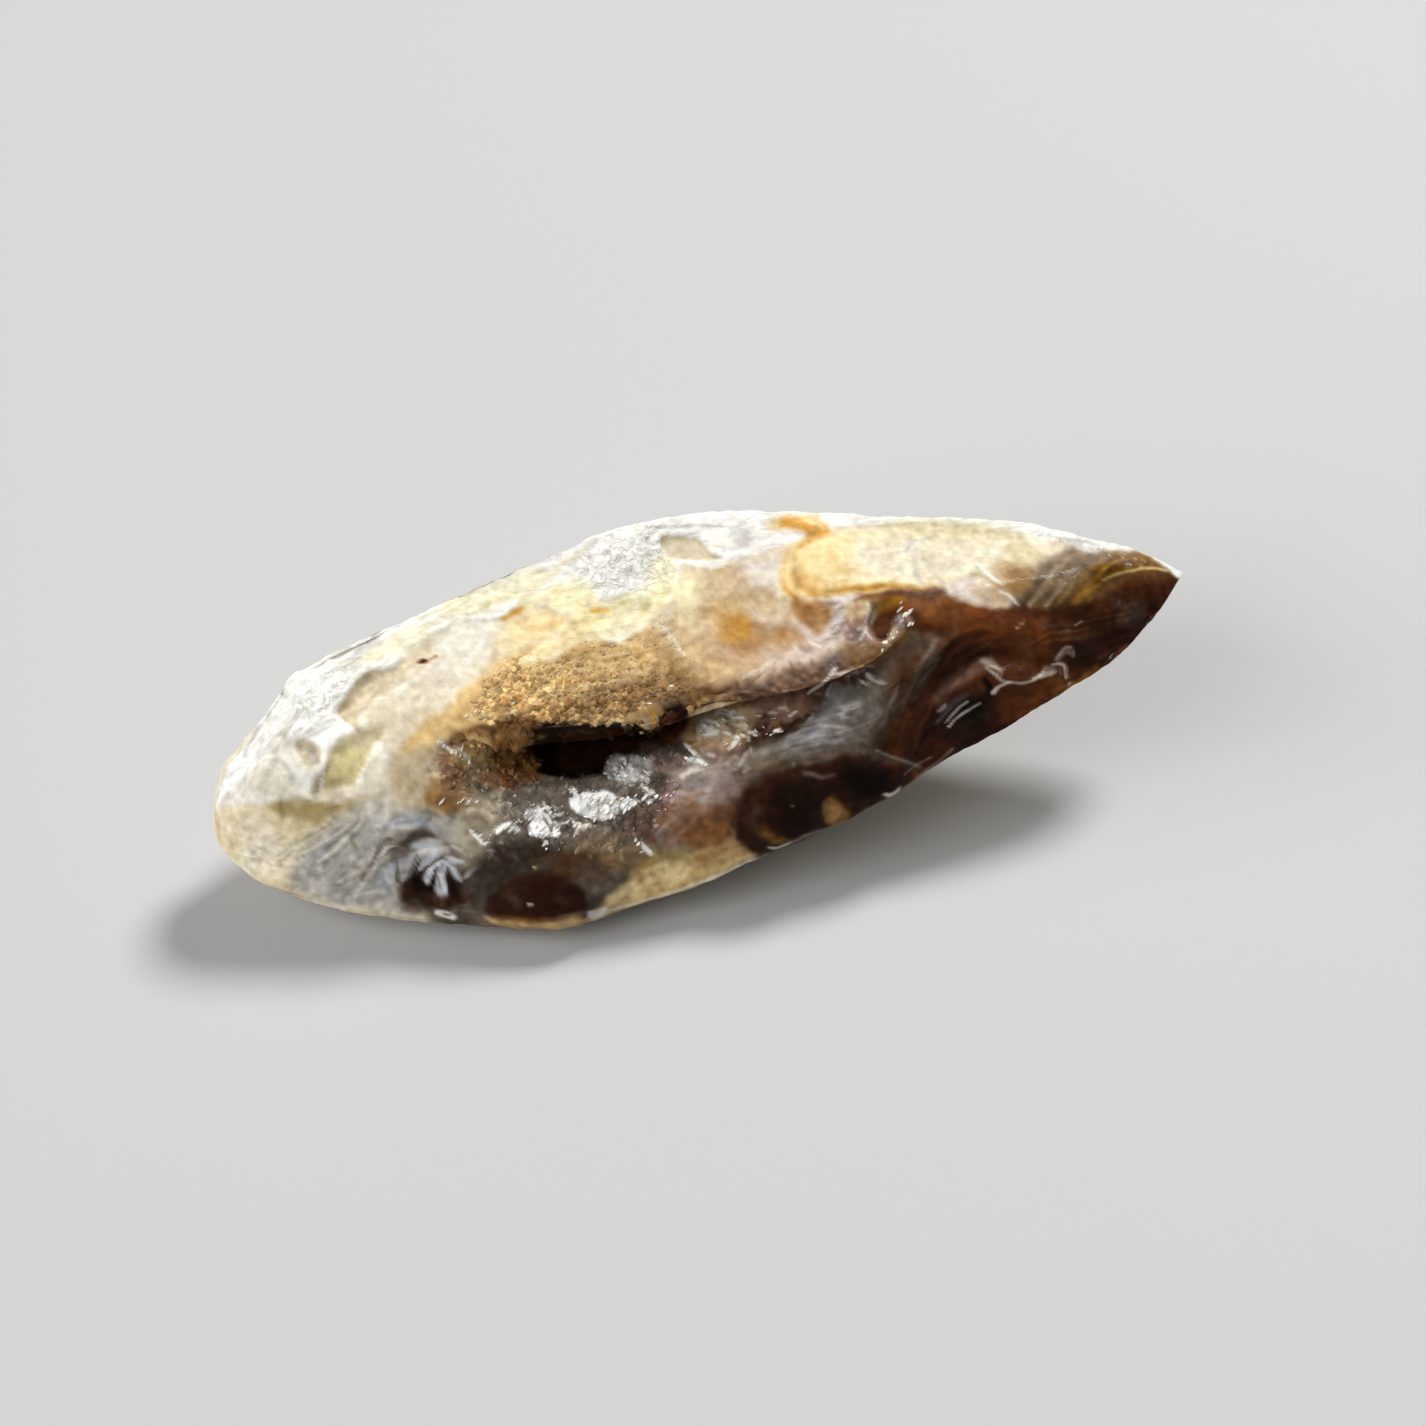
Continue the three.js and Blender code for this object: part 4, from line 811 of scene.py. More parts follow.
    (("mauve", "rust", "tan", "caramel", "umber", "fawn"), 2, 0.4, [(640, 792), (690, 784),
     (738, 792), (736, 846), (700, 852), (640, 848)], 46, 3),
    ("chestnut", 8, 0.5, [(714, 800), (744, 794), (746, 828), (718, 830)]),
    ("mauve", 8, 0.5, [(710, 782), (746, 780), (744, 804), (712, 806)]),
    ("rust", 9, 0.4, [(662, 804), (700, 798), (702, 836), (666, 840)]),
    ("tan", 3, 0.5, [(688, 856, 2), (734, 843, 4)]),
    ("honey", 5, 0.75, [(598, 912, 4), (620, 900, 7), (716, 870, 4), (752, 854, 2)]),
    ("peach", 6, 0.6, [(644, 864), (682, 860), (692, 876), (644, 892), (610, 910), (606, 898)]),
    ("rust", 4, 0.35, [(634, 868, 3), (642, 878, 3), (646, 888, 2)]),
    (("tan", "butter", "caramel", "honey", "olive"), 1.8, 0.4, [(612, 906), (648, 866), (700, 864),
     (746, 850), (750, 860), (700, 884), (650, 902)], 34, 2.6),
    ("ivory", 2, 0.7, [(598, 916, 1.5), (640, 902, 2), (680, 891, 2), (716, 877, 2),
     (752, 861, 1.6), (774, 852, 1)]),
    ("umber", 5, 1, [(734, 816), (742, 792), (770, 776), (840, 758), (872, 752), (890, 768),
     (912, 768), (896, 796), (868, 812), (812, 838), (780, 846), (752, 856), (738, 840)]),
    ("umber", 8, 0.5, [(736, 786), (770, 770), (808, 762), (808, 784), (760, 802), (740, 802)]),
    ("coal", 14, 0.55, [(752, 800), (806, 776), (826, 792), (824, 826), (796, 838)]),
    ("coal", 8, 0.8, [(836, 772), (872, 758), (890, 772), (892, 790), (866, 806), (848, 796)]),
    ("caramel", 3.5, 0.9, [(822, 800), (832, 795), (842, 804), (852, 816), (846, 826), (824, 828)]),
    ("tan", 5, 0.4, [(828, 806), (842, 808), (846, 820), (830, 822)]),
    ("gold", 5, 0.6, [(764, 832, 4), (774, 836, 4), (784, 841, 2)]),
    ("ash", 2.5, 0.7, [(806, 774, 2), (822, 777, 2.6), (834, 774, 1.2)]),
    ("smoke", 4, 0.7, [(872, 752, 3), (896, 762, 4), (916, 768, 3)]),
    ("fog", 1.4, 0.6, [(876, 750, 0.8), (900, 760, 1), (920, 768, 0.8)]),
    ("fog", 1.4, 0.5, [(904, 774, 0.8), (916, 766, 1), (930, 758, 0.8)]),
    ("bone", 1.6, 0.9, [(884, 795, 1.5), (892, 796, 2.2), (900, 788, 1.2)]),
    # A small glint painted in bone: painted highlight.
    ("bone", 1.4, 0.85, [(768, 846, 0.8), (776, 848, 1.6), (790, 842, 0.8)]),
    ("bone", 1.4, 0.5, [(793, 764, 1), (793, 768, 1)]),
    ("fog", 1.4, 0.5, [(791, 807, 1.2)]),
    ("fog", 2.2, 0.6, [(790, 842, 1), (826, 830, 1.6), (850, 822, 1), (884, 802, 1.2),
     (924, 774, 1.2), (952, 750, 1)]),
    # Smoky glassy zone below the slit.
    ("smoke", 9, 1, [(660, 740), (690, 755), (676, 772), (646, 800), (646, 850), (628, 880),
     (600, 896), (506, 884), (478, 880), (474, 832), (480, 812)]),
    ("ash", 8, 0.7, [(470, 812), (520, 822), (504, 846), (480, 850), (462, 830)]),
    (("ash", "smoke", "coal", "fog", "umber", "mauve"), 2, 0.42, [(484, 800), (520, 790),
     (560, 784), (600, 780), (640, 776)], [(500, 880), (540, 868), (580, 858), (620, 852),
     (646, 846)], 30, 1.8),
    ("coal", 10, 0.35, [(470, 872), (480, 852), (540, 842), (580, 852), (560, 872), (480, 900)]),
    ("walnut", 12, 0.35, [(530, 838), (630, 880), (540, 870)]),
    (("ash", "umber", "walnut", "smoke", "olive", "coal"), 1.8, 0.35, [(486, 850), (540, 838),
     (640, 838), (636, 870), (600, 894), (560, 874), (500, 880)], 50, 2.6),
    ("chestnut", 7, 0.5, [(548, 852), (590, 846), (620, 858), (606, 880), (580, 884), (560, 874)]),
    ("ash", 6, 0.5, [(580, 862), (604, 858), (626, 866), (610, 890), (588, 898), (574, 884)]),
    ("tan", 9, 0.45, [(606, 838), (648, 834), (652, 866), (622, 874), (604, 860)]),
    (("sand", "walnut", "fawn", "ash"), 1.5, 0.5, [(590, 832), (650, 828), (650, 864), (616, 876),
     (590, 858)], 20, 1.9),
    ("umber", 5, 1, [(484, 908), (500, 884), (530, 872), (562, 873), (578, 886), (590, 902),
     (584, 914), (530, 924), (492, 918)]),
    ("tan", 3, 0.9, [(484, 917, 1.5), (498, 923, 3), (530, 928, 4), (566, 928, 4), (596, 919, 3)]),
    ("caramel", 3, 0.5, [(496, 917, 2), (512, 920, 3), (540, 922, 3), (580, 918, 2)]),
    ("lilac", 2, 0.9, [(585, 910), (600, 910), (612, 904), (604, 918), (590, 922)]),
    # A highlight dot painted in bone on the brown dome: painted highlight.
    ("bone", 1, 0.8, [(529, 905, 1.4), (532, 905, 1.2)]),
    ("bone", 1, 0.6, [(535, 867, 1.2)]),
    # The hollow: brown druse down its left wall, and under the toothed ledge the cave, its shade painted in
    # near-black coal and umber: painted shade.
    ("rust", 5, 1, [(448, 742), (462, 732), (480, 723), (492, 728), (504, 720), (520, 719),
     (545, 722), (560, 740), (540, 792), (470, 786), (452, 764)]),
    (("caramel", "umber", "ash", "tan", "chestnut", "umber"), 2.4, 0.6, [(462, 772), (476, 748),
     (490, 728)], [(520, 780), (536, 750), (552, 726)], 22, 1.9),
    ("umber", 7, 0.7, [(530, 728), (552, 722), (556, 770), (520, 772)]),
    ("ash", 8, 0.9, [(540, 770), (612, 772), (640, 782), (652, 800), (650, 846), (600, 850),
     (500, 836), (480, 818), (500, 790)]),
    # Painted shade: the cave's mouth, near black.
    ("coal", 1.6, 1, [(528, 728), (545, 723), (555, 717), (561, 723), (570, 721), (580, 725),
     (586, 720), (593, 727), (600, 721), (608, 727), (615, 722), (629, 729), (636, 720), (643, 730),
     (651, 735), (656, 728), (661, 714), (670, 705), (682, 703), (690, 710), (684, 728), (672, 741),
     (658, 750), (630, 757), (612, 760), (604, 774), (575, 780), (545, 776), (528, 766)]),
    ("mauve", 5, 0.5, [(636, 744), (662, 740), (666, 756), (640, 762)]),
    ("chestnut", 7, 0.25, [(624, 808), (652, 804), (656, 838), (628, 844)]),
    ("tan", 10, 0.3, [(572, 832), (630, 832), (634, 856), (576, 858)]),
    ("chestnut", 10, 0.5, [(556, 734), (640, 732), (660, 744), (600, 766), (556, 770)]),
    ("rust", 3, 0.5, [(664, 722, 2), (672, 712, 3), (682, 708, 2)]),
    ("ash", 2, 0.6, [(664, 746, 1), (672, 734, 1.4), (682, 724, 1.4), (688, 712, 1)]),
    ("walnut", 5, 0.9, [(470, 732), (484, 722), (498, 728), (512, 716), (530, 718), (546, 727),
     (552, 724), (550, 745), (540, 768), (520, 778), (468, 768)]),
    (("tan", "walnut", "umber", "caramel", "coal", "walnut"), 1.4, 0.6, [(474, 764), (482, 742),
     (494, 730)], [(522, 776), (534, 748), (548, 728)], 22, 1.7),
    ("coal", 3, 0.85, [(524, 730), (545, 724), (556, 718), (560, 742), (556, 770), (540, 768),
     (528, 752)]),
    ("umber", 3, 0.5, [(464, 736, 1.5), (482, 726, 2), (504, 724, 2), (520, 721, 2)]),
    ("fawn", 7, 0.55, [(438, 750), (462, 742), (480, 772), (464, 786), (442, 780)]),
    ("caramel", 9, 0.4, [(470, 734), (500, 728), (530, 732), (528, 756), (500, 770), (472, 760)]),
    ("honey", 7, 0.7, [(450, 744), (472, 732), (492, 736), (490, 758), (464, 770), (450, 760)]),
    (("caramel", "tan", "walnut", "ash", "umber"), 1.5, 0.5, [(446, 748), (476, 732), (504, 728),
     (546, 730), (538, 758), (500, 776), (452, 782)], 60, 2.1),
    ("tan", 7, 0.55, [(450, 744), (472, 732), (490, 736), (488, 758), (464, 768), (450, 760)]),
    ("honey", 6, 0.55, [(454, 744), (474, 736), (488, 744), (484, 764), (462, 768)]),
    ("tan", 7, 0.45, [(456, 762), (484, 758), (490, 780), (460, 786)]),
    ("rust", 5, 0.6, [(658, 722), (676, 714), (686, 726), (672, 744), (656, 744)]),
    # Sand laid lighter than the stone here, where the crust lies in the hollow's shade: painted light.
    ("sand", 9, 0.4, [(464, 768), (500, 766), (508, 800), (480, 814), (462, 796)]),
    ("sand", 10, 0.5, [(456, 796), (490, 796), (500, 820), (490, 858), (462, 866), (456, 830)]),
    (("sand", "ash", "fawn", "smoke", "ivory"), 1.4, 0.5, [(462, 772), (500, 768), (530, 778),
     (526, 812), (480, 826), (460, 800)], 54, 1.7),
    (("sand", "ash", "smoke", "bone", "pewter"), 1.4, 0.5, [(462, 800), (520, 806), (530, 830),
     (500, 862), (464, 860)], 36, 1.8),
    # Patches of the crust where crystal faces catch the light, painted white: painted highlights.
    ("pewter", 3, 0.8, [(608, 762), (616, 754), (640, 756), (654, 757), (651, 772), (641, 782),
     (611, 774)]),
    (("frost", "pearl", "ash", "frost"), 1.2, 0.8, [(611, 762), (632, 757), (650, 758)],
     [(618, 780), (634, 780), (648, 772)], 14, 1.5),
    ("frost", 1.4, 1.1, [(571, 793), (575, 786), (577, 792), (585, 793), (598, 793), (602, 790),
     (609, 791), (615, 794), (617, 801), (618, 809), (617, 815), (612, 819), (602, 821), (594, 820),
     (586, 817), (579, 814), (576, 810), (572, 808), (570, 800)]),
    ("frost", 1.4, 1.05, [(619, 797), (632, 799), (641, 801), (633, 805), (629, 810), (619, 811)]),
    ("fog", 1.2, 0.8, [(580, 794, 0.8), (583, 799, 1.4), (580, 804, 1)]),
    ("fog", 1.4, 0.5, [(588, 807, 1), (600, 804, 1.6), (612, 802, 1)]),
    ("frost", 1.4, 1.1, [(525, 812), (530, 809), (535, 810), (538, 806), (542, 808), (543, 822),
     (548, 827), (556, 827), (562, 831), (556, 835), (545, 836), (528, 837), (529, 826),
     (525, 823)]),
    ("ash", 1.2, 0.8, [(530, 815, 1.2), (535, 814, 1)]),
    ("frost", 1.2, 1, [(544, 805, 1.6), (547, 808, 2.4), (549, 812, 1.4)]),
    ("frost", 1.2, 0.95, [(546, 816, 2.4), (550, 822, 2.2)], [(553, 817, 1.6), (563, 812, 1.6)]),
    ("lilac", 1.2, 0.7, [(552, 806, 1.4), (558, 808, 1.6), (560, 813, 1)]),
    ("frost", 1.2, 0.9, [(559, 826, 1.2), (568, 823, 1.4)]),
    ("frost", 1.4, 0.95, [(495, 831, 1), (502, 827, 2.8), (511, 824, 3.4), (517, 829, 2.4)]),
    ("frost", 1.2, 0.85, [(574, 821, 1.8), (579, 825, 2.8), (577, 833, 1.5)]),
    ("ivory", 1.2, 0.9, [(582, 828, 3), (590, 826, 2.6)]),
    ("frost", 1.2, 0.9, [(545, 843, 1.8)], [(472, 831, 1.6), (478, 837, 2), (484, 845, 1.3),
     (490, 843, 0.9)]),
    ("frost", 1.2, 0.8, [(440, 741, 1.2), (447, 747, 1.8), (456, 751, 2.4)]),
    ("frost", 1.2, 0.75, [(458, 746, 0.8), (466, 757, 2), (471, 764, 1)]),
    ("frost", 1.2, 0.9, [(642, 786, 2), (646, 789, 1.8)], [(647, 794, 2.4), (652, 791, 2.2)]),
    ("frost", 1.2, 0.85, [(647, 801, 1.8), (652, 799, 1.4)], [(641, 843, 2), (645, 849, 2.8),
     (650, 854, 2.4)]),
    ("lilac", 1.4, 0.6, [(634, 834, 1.6), (636, 838, 1.4)]),
    # Glints of crystals at the hollow's right end, painted in white and pale lilac: painted highlights.
    ("frost", 1.2, 1, [(717, 715, 1.5), (721, 710, 2), (727, 711, 1.6)], [(730, 714, 2.2),
     (734, 712, 2.4)]),
    ("frost", 1.2, 0.95, [(733, 718, 1.5), (744, 718, 1.5)], [(706, 721, 1.5), (716, 723, 1.7)]),
    ("lilac", 1.4, 0.8, [(720, 721, 1.4), (728, 721, 1.3)]),
    ("frost", 1.2, 1, [(703, 727, 2.6), (711, 729, 1.8)], [(703, 736, 1.5), (711, 733, 2.6),
     (717, 731, 1.8)]),
    ("lilac", 1.4, 0.85, [(697, 729, 1.8), (699, 737, 2)]),
    ("frost", 1.2, 0.9, [(724, 732, 1.5), (730, 734, 1.6)]),
    ("frost", 1.2, 0.95, [(735, 737, 2), (738, 739, 1.8), (732, 743, 1.8)]),
    ("lilac", 1.4, 0.8, [(739, 727, 1.3), (745, 725, 1.5), (745, 730, 1.3)]),
    ("frost", 1.2, 0.9, [(748, 733, 1.5), (754, 733, 1.5)]),
    ("lilac", 1.4, 0.9, [(748, 740, 1.8)]),
    ("frost", 1.2, 0.9, [(775, 731, 1.5), (780, 730, 1.8)]),
    ("lilac", 1.4, 0.8, [(790, 715, 1.4), (795, 711, 1.6)]),
    ("lilac", 1.4, 0.7, [(770, 713, 1.5), (776, 713, 1.3)], [(779, 708, 1.3), (785, 706, 1.5),
     (787, 710, 1.3)]),
    ("frost", 1.2, 0.95, [(686, 744, 1.4), (690, 748, 1.5), (694, 753, 1.4)]),
    ("frost", 1.2, 0.9, [(684, 763, 2), (690, 759, 3), (698, 761, 2.4), (706, 765, 1.4)]),
    ("ivory", 1.4, 0.8, [(681, 776, 2), (688, 772, 2.4), (703, 770, 1.2)]),
    ("lilac", 1.6, 0.8, [(708, 755, 2), (713, 756, 2)]),
    ("lilac", 1.4, 0.8, [(731, 745, 1.4), (728, 749, 1.6)]),
    ("fog", 1.4, 0.7, [(672, 752, 1.6), (680, 756, 1.6)]),
    # The pit at the slope's right end, with its own few crystals and their glints painted white (painted
    # highlights).
    ("mauve", 3, 0.9, [(848, 632), (856, 622), (868, 624), (876, 634), (872, 644), (850, 640)]),
    ("ash", 2, 0.8, [(852, 634), (858, 626), (864, 632), (860, 640), (854, 640)]),
    ("lilac", 1.2, 0.9, [(848, 642, 1), (858, 643, 1.4), (866, 628, 1), (872, 640, 1.4)]),
    ("frost", 1.2, 0.8, [(863, 645, 1), (868, 646, 2), (872, 643, 1)], [(884, 642, 1),
     (883, 648, 2), (888, 644, 1)]),
    ("chestnut", 3, 1, [(872, 626), (882, 608), (896, 604), (894, 622), (888, 638), (876, 640)]),
    ("umber", 3, 0.7, [(878, 628), (888, 618), (892, 624), (886, 636), (878, 636)]),
    ("gold", 4, 0.7, [(874, 604), (886, 596), (908, 598), (902, 608), (886, 612), (876, 616)]),
    ("rust", 4, 0.7, [(896, 606), (916, 604), (926, 614), (900, 616)]),
    ("chestnut", 4, 0.8, [(902, 618), (916, 610), (926, 620), (912, 632), (902, 632)]),
    ("walnut", 4, 0.8, [(890, 642), (900, 630), (912, 632), (902, 648), (886, 656), (862, 652)]),
    ("mauve", 8, 0.6, [(836, 644), (872, 640), (884, 648), (880, 664), (846, 668)]),
    (("lilac", "mauve", "ivory", "ash"), 1.4, 0.55, [(848, 612), (868, 602), (874, 640), (866, 652),
     (848, 650), (842, 636)], 22, 1.7),
    ("walnut", 7, 0.8, [(836, 644), (880, 640), (888, 648), (884, 664), (846, 670)]),
    ("peach", 4, 0.5, [(842, 602), (874, 598), (874, 614), (846, 620)]),
    ("rust", 4, 0.6, [(878, 612), (894, 608), (892, 628), (880, 630)]),
    ("mauve", 2, 0.9, [(896, 622, 4), (904, 618, 5), (910, 622, 3)]),
    ("pearl", 1.2, 0.6, [(898, 616, 2), (902, 626, 2)]),
    # Druse along the sill, its bright faces painted white: painted highlights.
    ("mauve", 4, 0.7, [(652, 758), (680, 752), (690, 764), (672, 776), (654, 772)]),
    ("fog", 3, 0.8, [(607, 762), (616, 754), (640, 757), (655, 757), (652, 768), (648, 780),
     (636, 784), (622, 784), (610, 778)]),
    (("frost", "pewter", "bone", "ash", "smoke"), 1.3, 0.6, [(610, 762), (632, 756), (652, 757),
     (650, 772), (634, 783), (612, 778)], 26, 1.7),
    ("frost", 1.2, 0.95, [(618, 776, 2.2), (623, 774, 2.6)], [(630, 774, 2), (633, 767, 2.4)]),
    ("frost", 1.2, 0.85, [(640, 776, 1.4), (647, 781, 1.4)]),
]

# Faces of quartz crystals that stand bright in the light: half width, and their places.
FLECKS = [
    (4.5, [(574, 791), (582, 796), (590, 801), (598, 797), (606, 797), (613, 801), (586, 808),
     (594, 814), (602, 812), (610, 810), (616, 806), (600, 804), (590, 794), (608, 805),
     (596, 808)]),
    (3.6, [(572, 788), (580, 790), (596, 819), (604, 817), (612, 815), (618, 798), (623, 802),
     (628, 804), (634, 802), (631, 808), (624, 809), (577, 826), (583, 827), (589, 827)]),
    (3.6, [(529, 811), (531, 817), (537, 811), (544, 808), (550, 808), (556, 812), (534, 824),
     (541, 829), (546, 833), (552, 831), (558, 830), (536, 834), (548, 836), (560, 829), (553, 822),
     (543, 820)]),
    (4, [(503, 828), (509, 825), (515, 822), (511, 831), (518, 829), (522, 824), (498, 829),
     (545, 843)]),
    (3, [(511, 803), (514, 793), (475, 833), (480, 838), (485, 845), (488, 841), (574, 834),
     (568, 822), (562, 806), (640, 788), (645, 786), (649, 794), (652, 791), (644, 800), (651, 801),
     (657, 797), (668, 796), (673, 794)]),
    (3, [(612, 766), (617, 760), (622, 756), (628, 760), (634, 757), (641, 759), (648, 758),
     (625, 768), (632, 770), (639, 768), (646, 770), (618, 774), (626, 777), (634, 778), (642, 776),
     (650, 774)]),
    (4, [(640, 844), (645, 849), (649, 853), (637, 842), (643, 854)]),
    (3, [(440, 743), (446, 747), (451, 751), (456, 752), (462, 757), (468, 760), (463, 749),
     (470, 764), (444, 801), (441, 801), (464, 799), (469, 801), (476, 775), (484, 788), (478, 800),
     (512, 768), (546, 760)]),
    (3, [(722, 710), (728, 712), (733, 714), (726, 717), (736, 717), (706, 723), (713, 724),
     (720, 722), (700, 729), (708, 731), (714, 733), (704, 735)]),
    (2.8, [(732, 734), (738, 737), (744, 733), (750, 735), (755, 733), (728, 741), (734, 743),
     (743, 742)]),
    (3, [(688, 744), (692, 749), (696, 753), (689, 757), (696, 759), (703, 762), (708, 764),
     (779, 730), (783, 732), (760, 712), (772, 716), (764, 724), (748, 722), (756, 728), (784, 706),
     (792, 712), (770, 734)]),
    (5, [(653, 702), (657, 706)]),
    (3, [(492, 699), (513, 702), (521, 698), (469, 714), (476, 708), (655, 694), (672, 683),
     (632, 667), (596, 672)]),
    (2.2, [(1062, 537), (1069, 539), (1076, 541), (1083, 542), (1091, 545), (1099, 547),
     (1107, 549), (1116, 551), (1126, 553), (1136, 556), (1145, 559), (1072, 545), (1090, 549),
     (1110, 553), (1052, 535), (1042, 533)]),
    (4, [(905, 611), (901, 618), (908, 621), (888, 630), (892, 636), (885, 642), (883, 648),
     (868, 646), (899, 607), (895, 627), (912, 610)]),
]

# The rind laps over the break as far as this, with scalloped flakes along its foot, and a window
# is chipped through it.
RIND_AREA = [
    (150, 800), (205, 812), (236, 786), (262, 752), (283, 728), (291, 737), (303, 738), (314, 744),
    (322, 748), (334, 738), (345, 731), (356, 733), (344, 722), (333, 713), (343, 702), (353, 688),
    (360, 676), (378, 669), (396, 668), (401, 655), (425, 641), (440, 633), (460, 622), (480, 620),
    (500, 618), (512, 609), (526, 600), (535, 606), (547, 605), (560, 613), (567, 622), (556, 634),
    (541, 648), (526, 660), (545, 657), (556, 660), (564, 650), (575, 643), (590, 636), (600, 636),
    (606, 643), (616, 643), (630, 640), (638, 631), (647, 629), (654, 614), (655, 600), (668, 604),
    (676, 590), (681, 572), (683, 562), (700, 567), (722, 567), (735, 560), (760, 552), (785, 546),
    (805, 536), (830, 528), (900, 522), (960, 524), (1010, 529), (1035, 537), (1062, 542),
    (1085, 551), (1106, 550), (1122, 548), (1145, 553), (1166, 568), (1186, 582), (1260, 560),
    (1260, 380), (150, 380),
]
RIND_WINDOW = [
    (659, 541), (666, 535), (680, 537), (695, 538), (704, 545), (712, 553), (722, 558), (714, 561),
    (700, 560), (684, 561), (670, 560), (664, 552),
]
# The rind's own marks, laid like the others and over them.
RIND_MARKS = [
    ("chalk", 2.5, 1, RIND_AREA),
    ("butter", 8, 0.7, [(356, 664), (384, 640), (440, 616), (432, 634), (376, 662)]),
    ("butter", 9, 0.75, [(436, 606), (470, 590), (548, 562), (540, 584), (520, 600), (450, 622)]),
    ("honey", 4, 0.45, [(520, 600, 2), (546, 578, 3), (584, 548, 2)]),
    ("butter", 8, 0.8, [(570, 640), (585, 612), (676, 574), (682, 590), (660, 606), (652, 628),
     (620, 644)]),
    ("straw", 6, 0.5, [(580, 600), (640, 590), (640, 606), (612, 622), (582, 620)]),
    ("butter", 7, 0.85, [(516, 604), (548, 588), (584, 576), (602, 600), (590, 634), (560, 656),
     (524, 664), (540, 648), (568, 624), (550, 604)]),
    ("butter", 7, 0.5, [(640, 560), (676, 556), (684, 580), (650, 590)]),
    (("straw", "bone", "chalk", "sand"), 2, 0.35, [(330, 676), (400, 630), (480, 588), (560, 552)],
     [(352, 690), (420, 645), (500, 605), (575, 575)], 22, 1.5),
    (("sand", "chalk", "fog"), 2, 0.35, [(228, 800), (250, 740), (290, 690)], [(262, 800),
     (280, 745), (318, 700)], 12, 1.4),
    ("honey", 7, 0.35, [(534, 642), (560, 636), (566, 654), (540, 661)]),
    ("honey", 8, 0.4, [(554, 616), (584, 612), (588, 640), (560, 648)]),
    ("fog", 3, 0.6, [(1072, 545, 2.5), (1090, 550, 3), (1102, 551, 2)]),
    ("fog", 8, 0.35, [(440, 586), (520, 554), (590, 534), (598, 552), (450, 606)], [(326, 664),
     (366, 630), (384, 644), (346, 678)]),
    ("straw", 2.5, 0.7, [(640, 600), (652, 598), (652, 608), (646, 616), (640, 612)]),
    ("amber", 3, 0.75, [(592, 611, 2), (602, 611, 3), (608, 611, 1.5)]),
    ("ivory", 2, 0.8, [(690, 563, 1), (702, 566, 2.4), (722, 566, 2.4), (736, 560, 1.5)]),
    ("sand", 2, 1, RIND_WINDOW),
    ("fog", 6, 0.5, [(724, 526), (748, 522), (760, 534), (744, 548), (726, 544)]),
    ("lilac", 8, 0.5, [(740, 530), (790, 530), (784, 552), (750, 556)]),
    ("ivory", 6, 0.6, [(700, 530), (726, 528), (730, 548), (716, 548)]),
    ("fog", 1.6, 0.8, [(646, 527, 0.8), (680, 527, 1.2), (700, 525, 1.2), (728, 525, 1)]),
    ("straw", 6, 0.35, [(880, 518), (1010, 520), (1016, 536), (880, 530)]),
    ("honey", 5, 0.8, [(764, 528), (774, 519), (788, 513), (816, 514), (826, 522), (834, 530),
     (824, 540), (808, 536), (796, 530), (778, 531)]),
    ("amber", 3, 0.75, [(776, 526), (784, 518), (800, 516), (812, 520), (826, 527), (832, 531),
     (820, 536), (808, 538), (806, 531), (792, 529)]),
    ("butter", 2, 0.7, [(802, 520, 1), (812, 522, 3), (822, 527, 1)]),
    ("caramel", 2, 0.5, [(806, 536, 1.4), (814, 534, 3), (822, 531, 1.4)]),
    ("fog", 2.5, 0.7, [(1050, 536, 1), (1068, 541, 1.6), (1084, 541, 2), (1098, 546, 1.4)]),
    ("rust", 1.2, 0.9, [(417, 662, 1), (424, 660, 3), (428, 661, 1)]),
    ("umber", 1.2, 0.9, [(421, 661, 1.2), (424, 660, 1.8)]),
    ("caramel", 1.2, 0.8, [(430, 659, 0.8), (436, 656, 2)]),
]
# Where the rind is most strongly crackled.
CRACKLED = [
    [(568, 560), (600, 536), (640, 524), (676, 528), (668, 560), (676, 590), (640, 590),
     (590, 600)],
    [(282, 720), (296, 690), (330, 664), (360, 660), (350, 690), (330, 716), (300, 736)],
]
# Grainy quartz: the slope over the slit, and the dark mealy band to its right.
SUGARED = [
    [(470, 720), (484, 684), (505, 660), (540, 656), (566, 646), (600, 642), (650, 624), (664, 608),
     (684, 640), (700, 690), (690, 724), (560, 728)],
    [(684, 700), (760, 694), (840, 660), (872, 650), (880, 664), (812, 706), (760, 738),
     (694, 744)],
    [(420, 760), (470, 722), (690, 722), (700, 790), (640, 850), (500, 846), (430, 812)],
]


def rounded(points):
    """The points of an outline or stroke with its corners cut twice."""
    points = np.array(points, float)
    closed = points.shape[1] == 2
    for _ in range(2):
        if len(points) < 3:
            break
        if closed:
            a, b = points, np.roll(points, -1, 0)
        else:
            a, b = points[:-1], points[1:]
        cut = np.stack([0.75 * a + 0.25 * b, 0.25 * a + 0.75 * b], 1).reshape(-1, points.shape[1])
        points = cut if closed else np.vstack([points[:1], cut[1:-1], points[-1:]])
    return points


def cover(place, outline, soft):
    """Share from 0 to 1 that an outline or stroke covers at chart places."""
    points = rounded(outline)
    margin = soft + (points[:, 2].max() if points.shape[1] == 3 else 0)
    low, high = points[:, :2].min(0) - margin, points[:, :2].max(0) + margin
    near = ((place > low) & (place < high)).all(-1)
    depth = (inside if points.shape[1] == 2 else beside)(place[near], points)
    share = np.zeros(place.shape[:-1])
    share[near] = smooth(-soft, soft, depth)
    return share


def cover_any(place, outlines, soft):
    """Share from 0 to 1 that the best of several outlines covers at chart places."""
    return np.maximum.reduce([cover(place, outline, soft) for outline in outlines])


def ridges(p, size, seed):
    """Wandering creases, 1 on their crests and 0 between them."""
    bent = p + 0.35 * size * np.stack([grain(p, size, seed + k) for k in (1, 2, 3)], -1)
    return 1 - np.clip(np.abs(grain(bent, size, seed)) * 2.2, 0, 1)


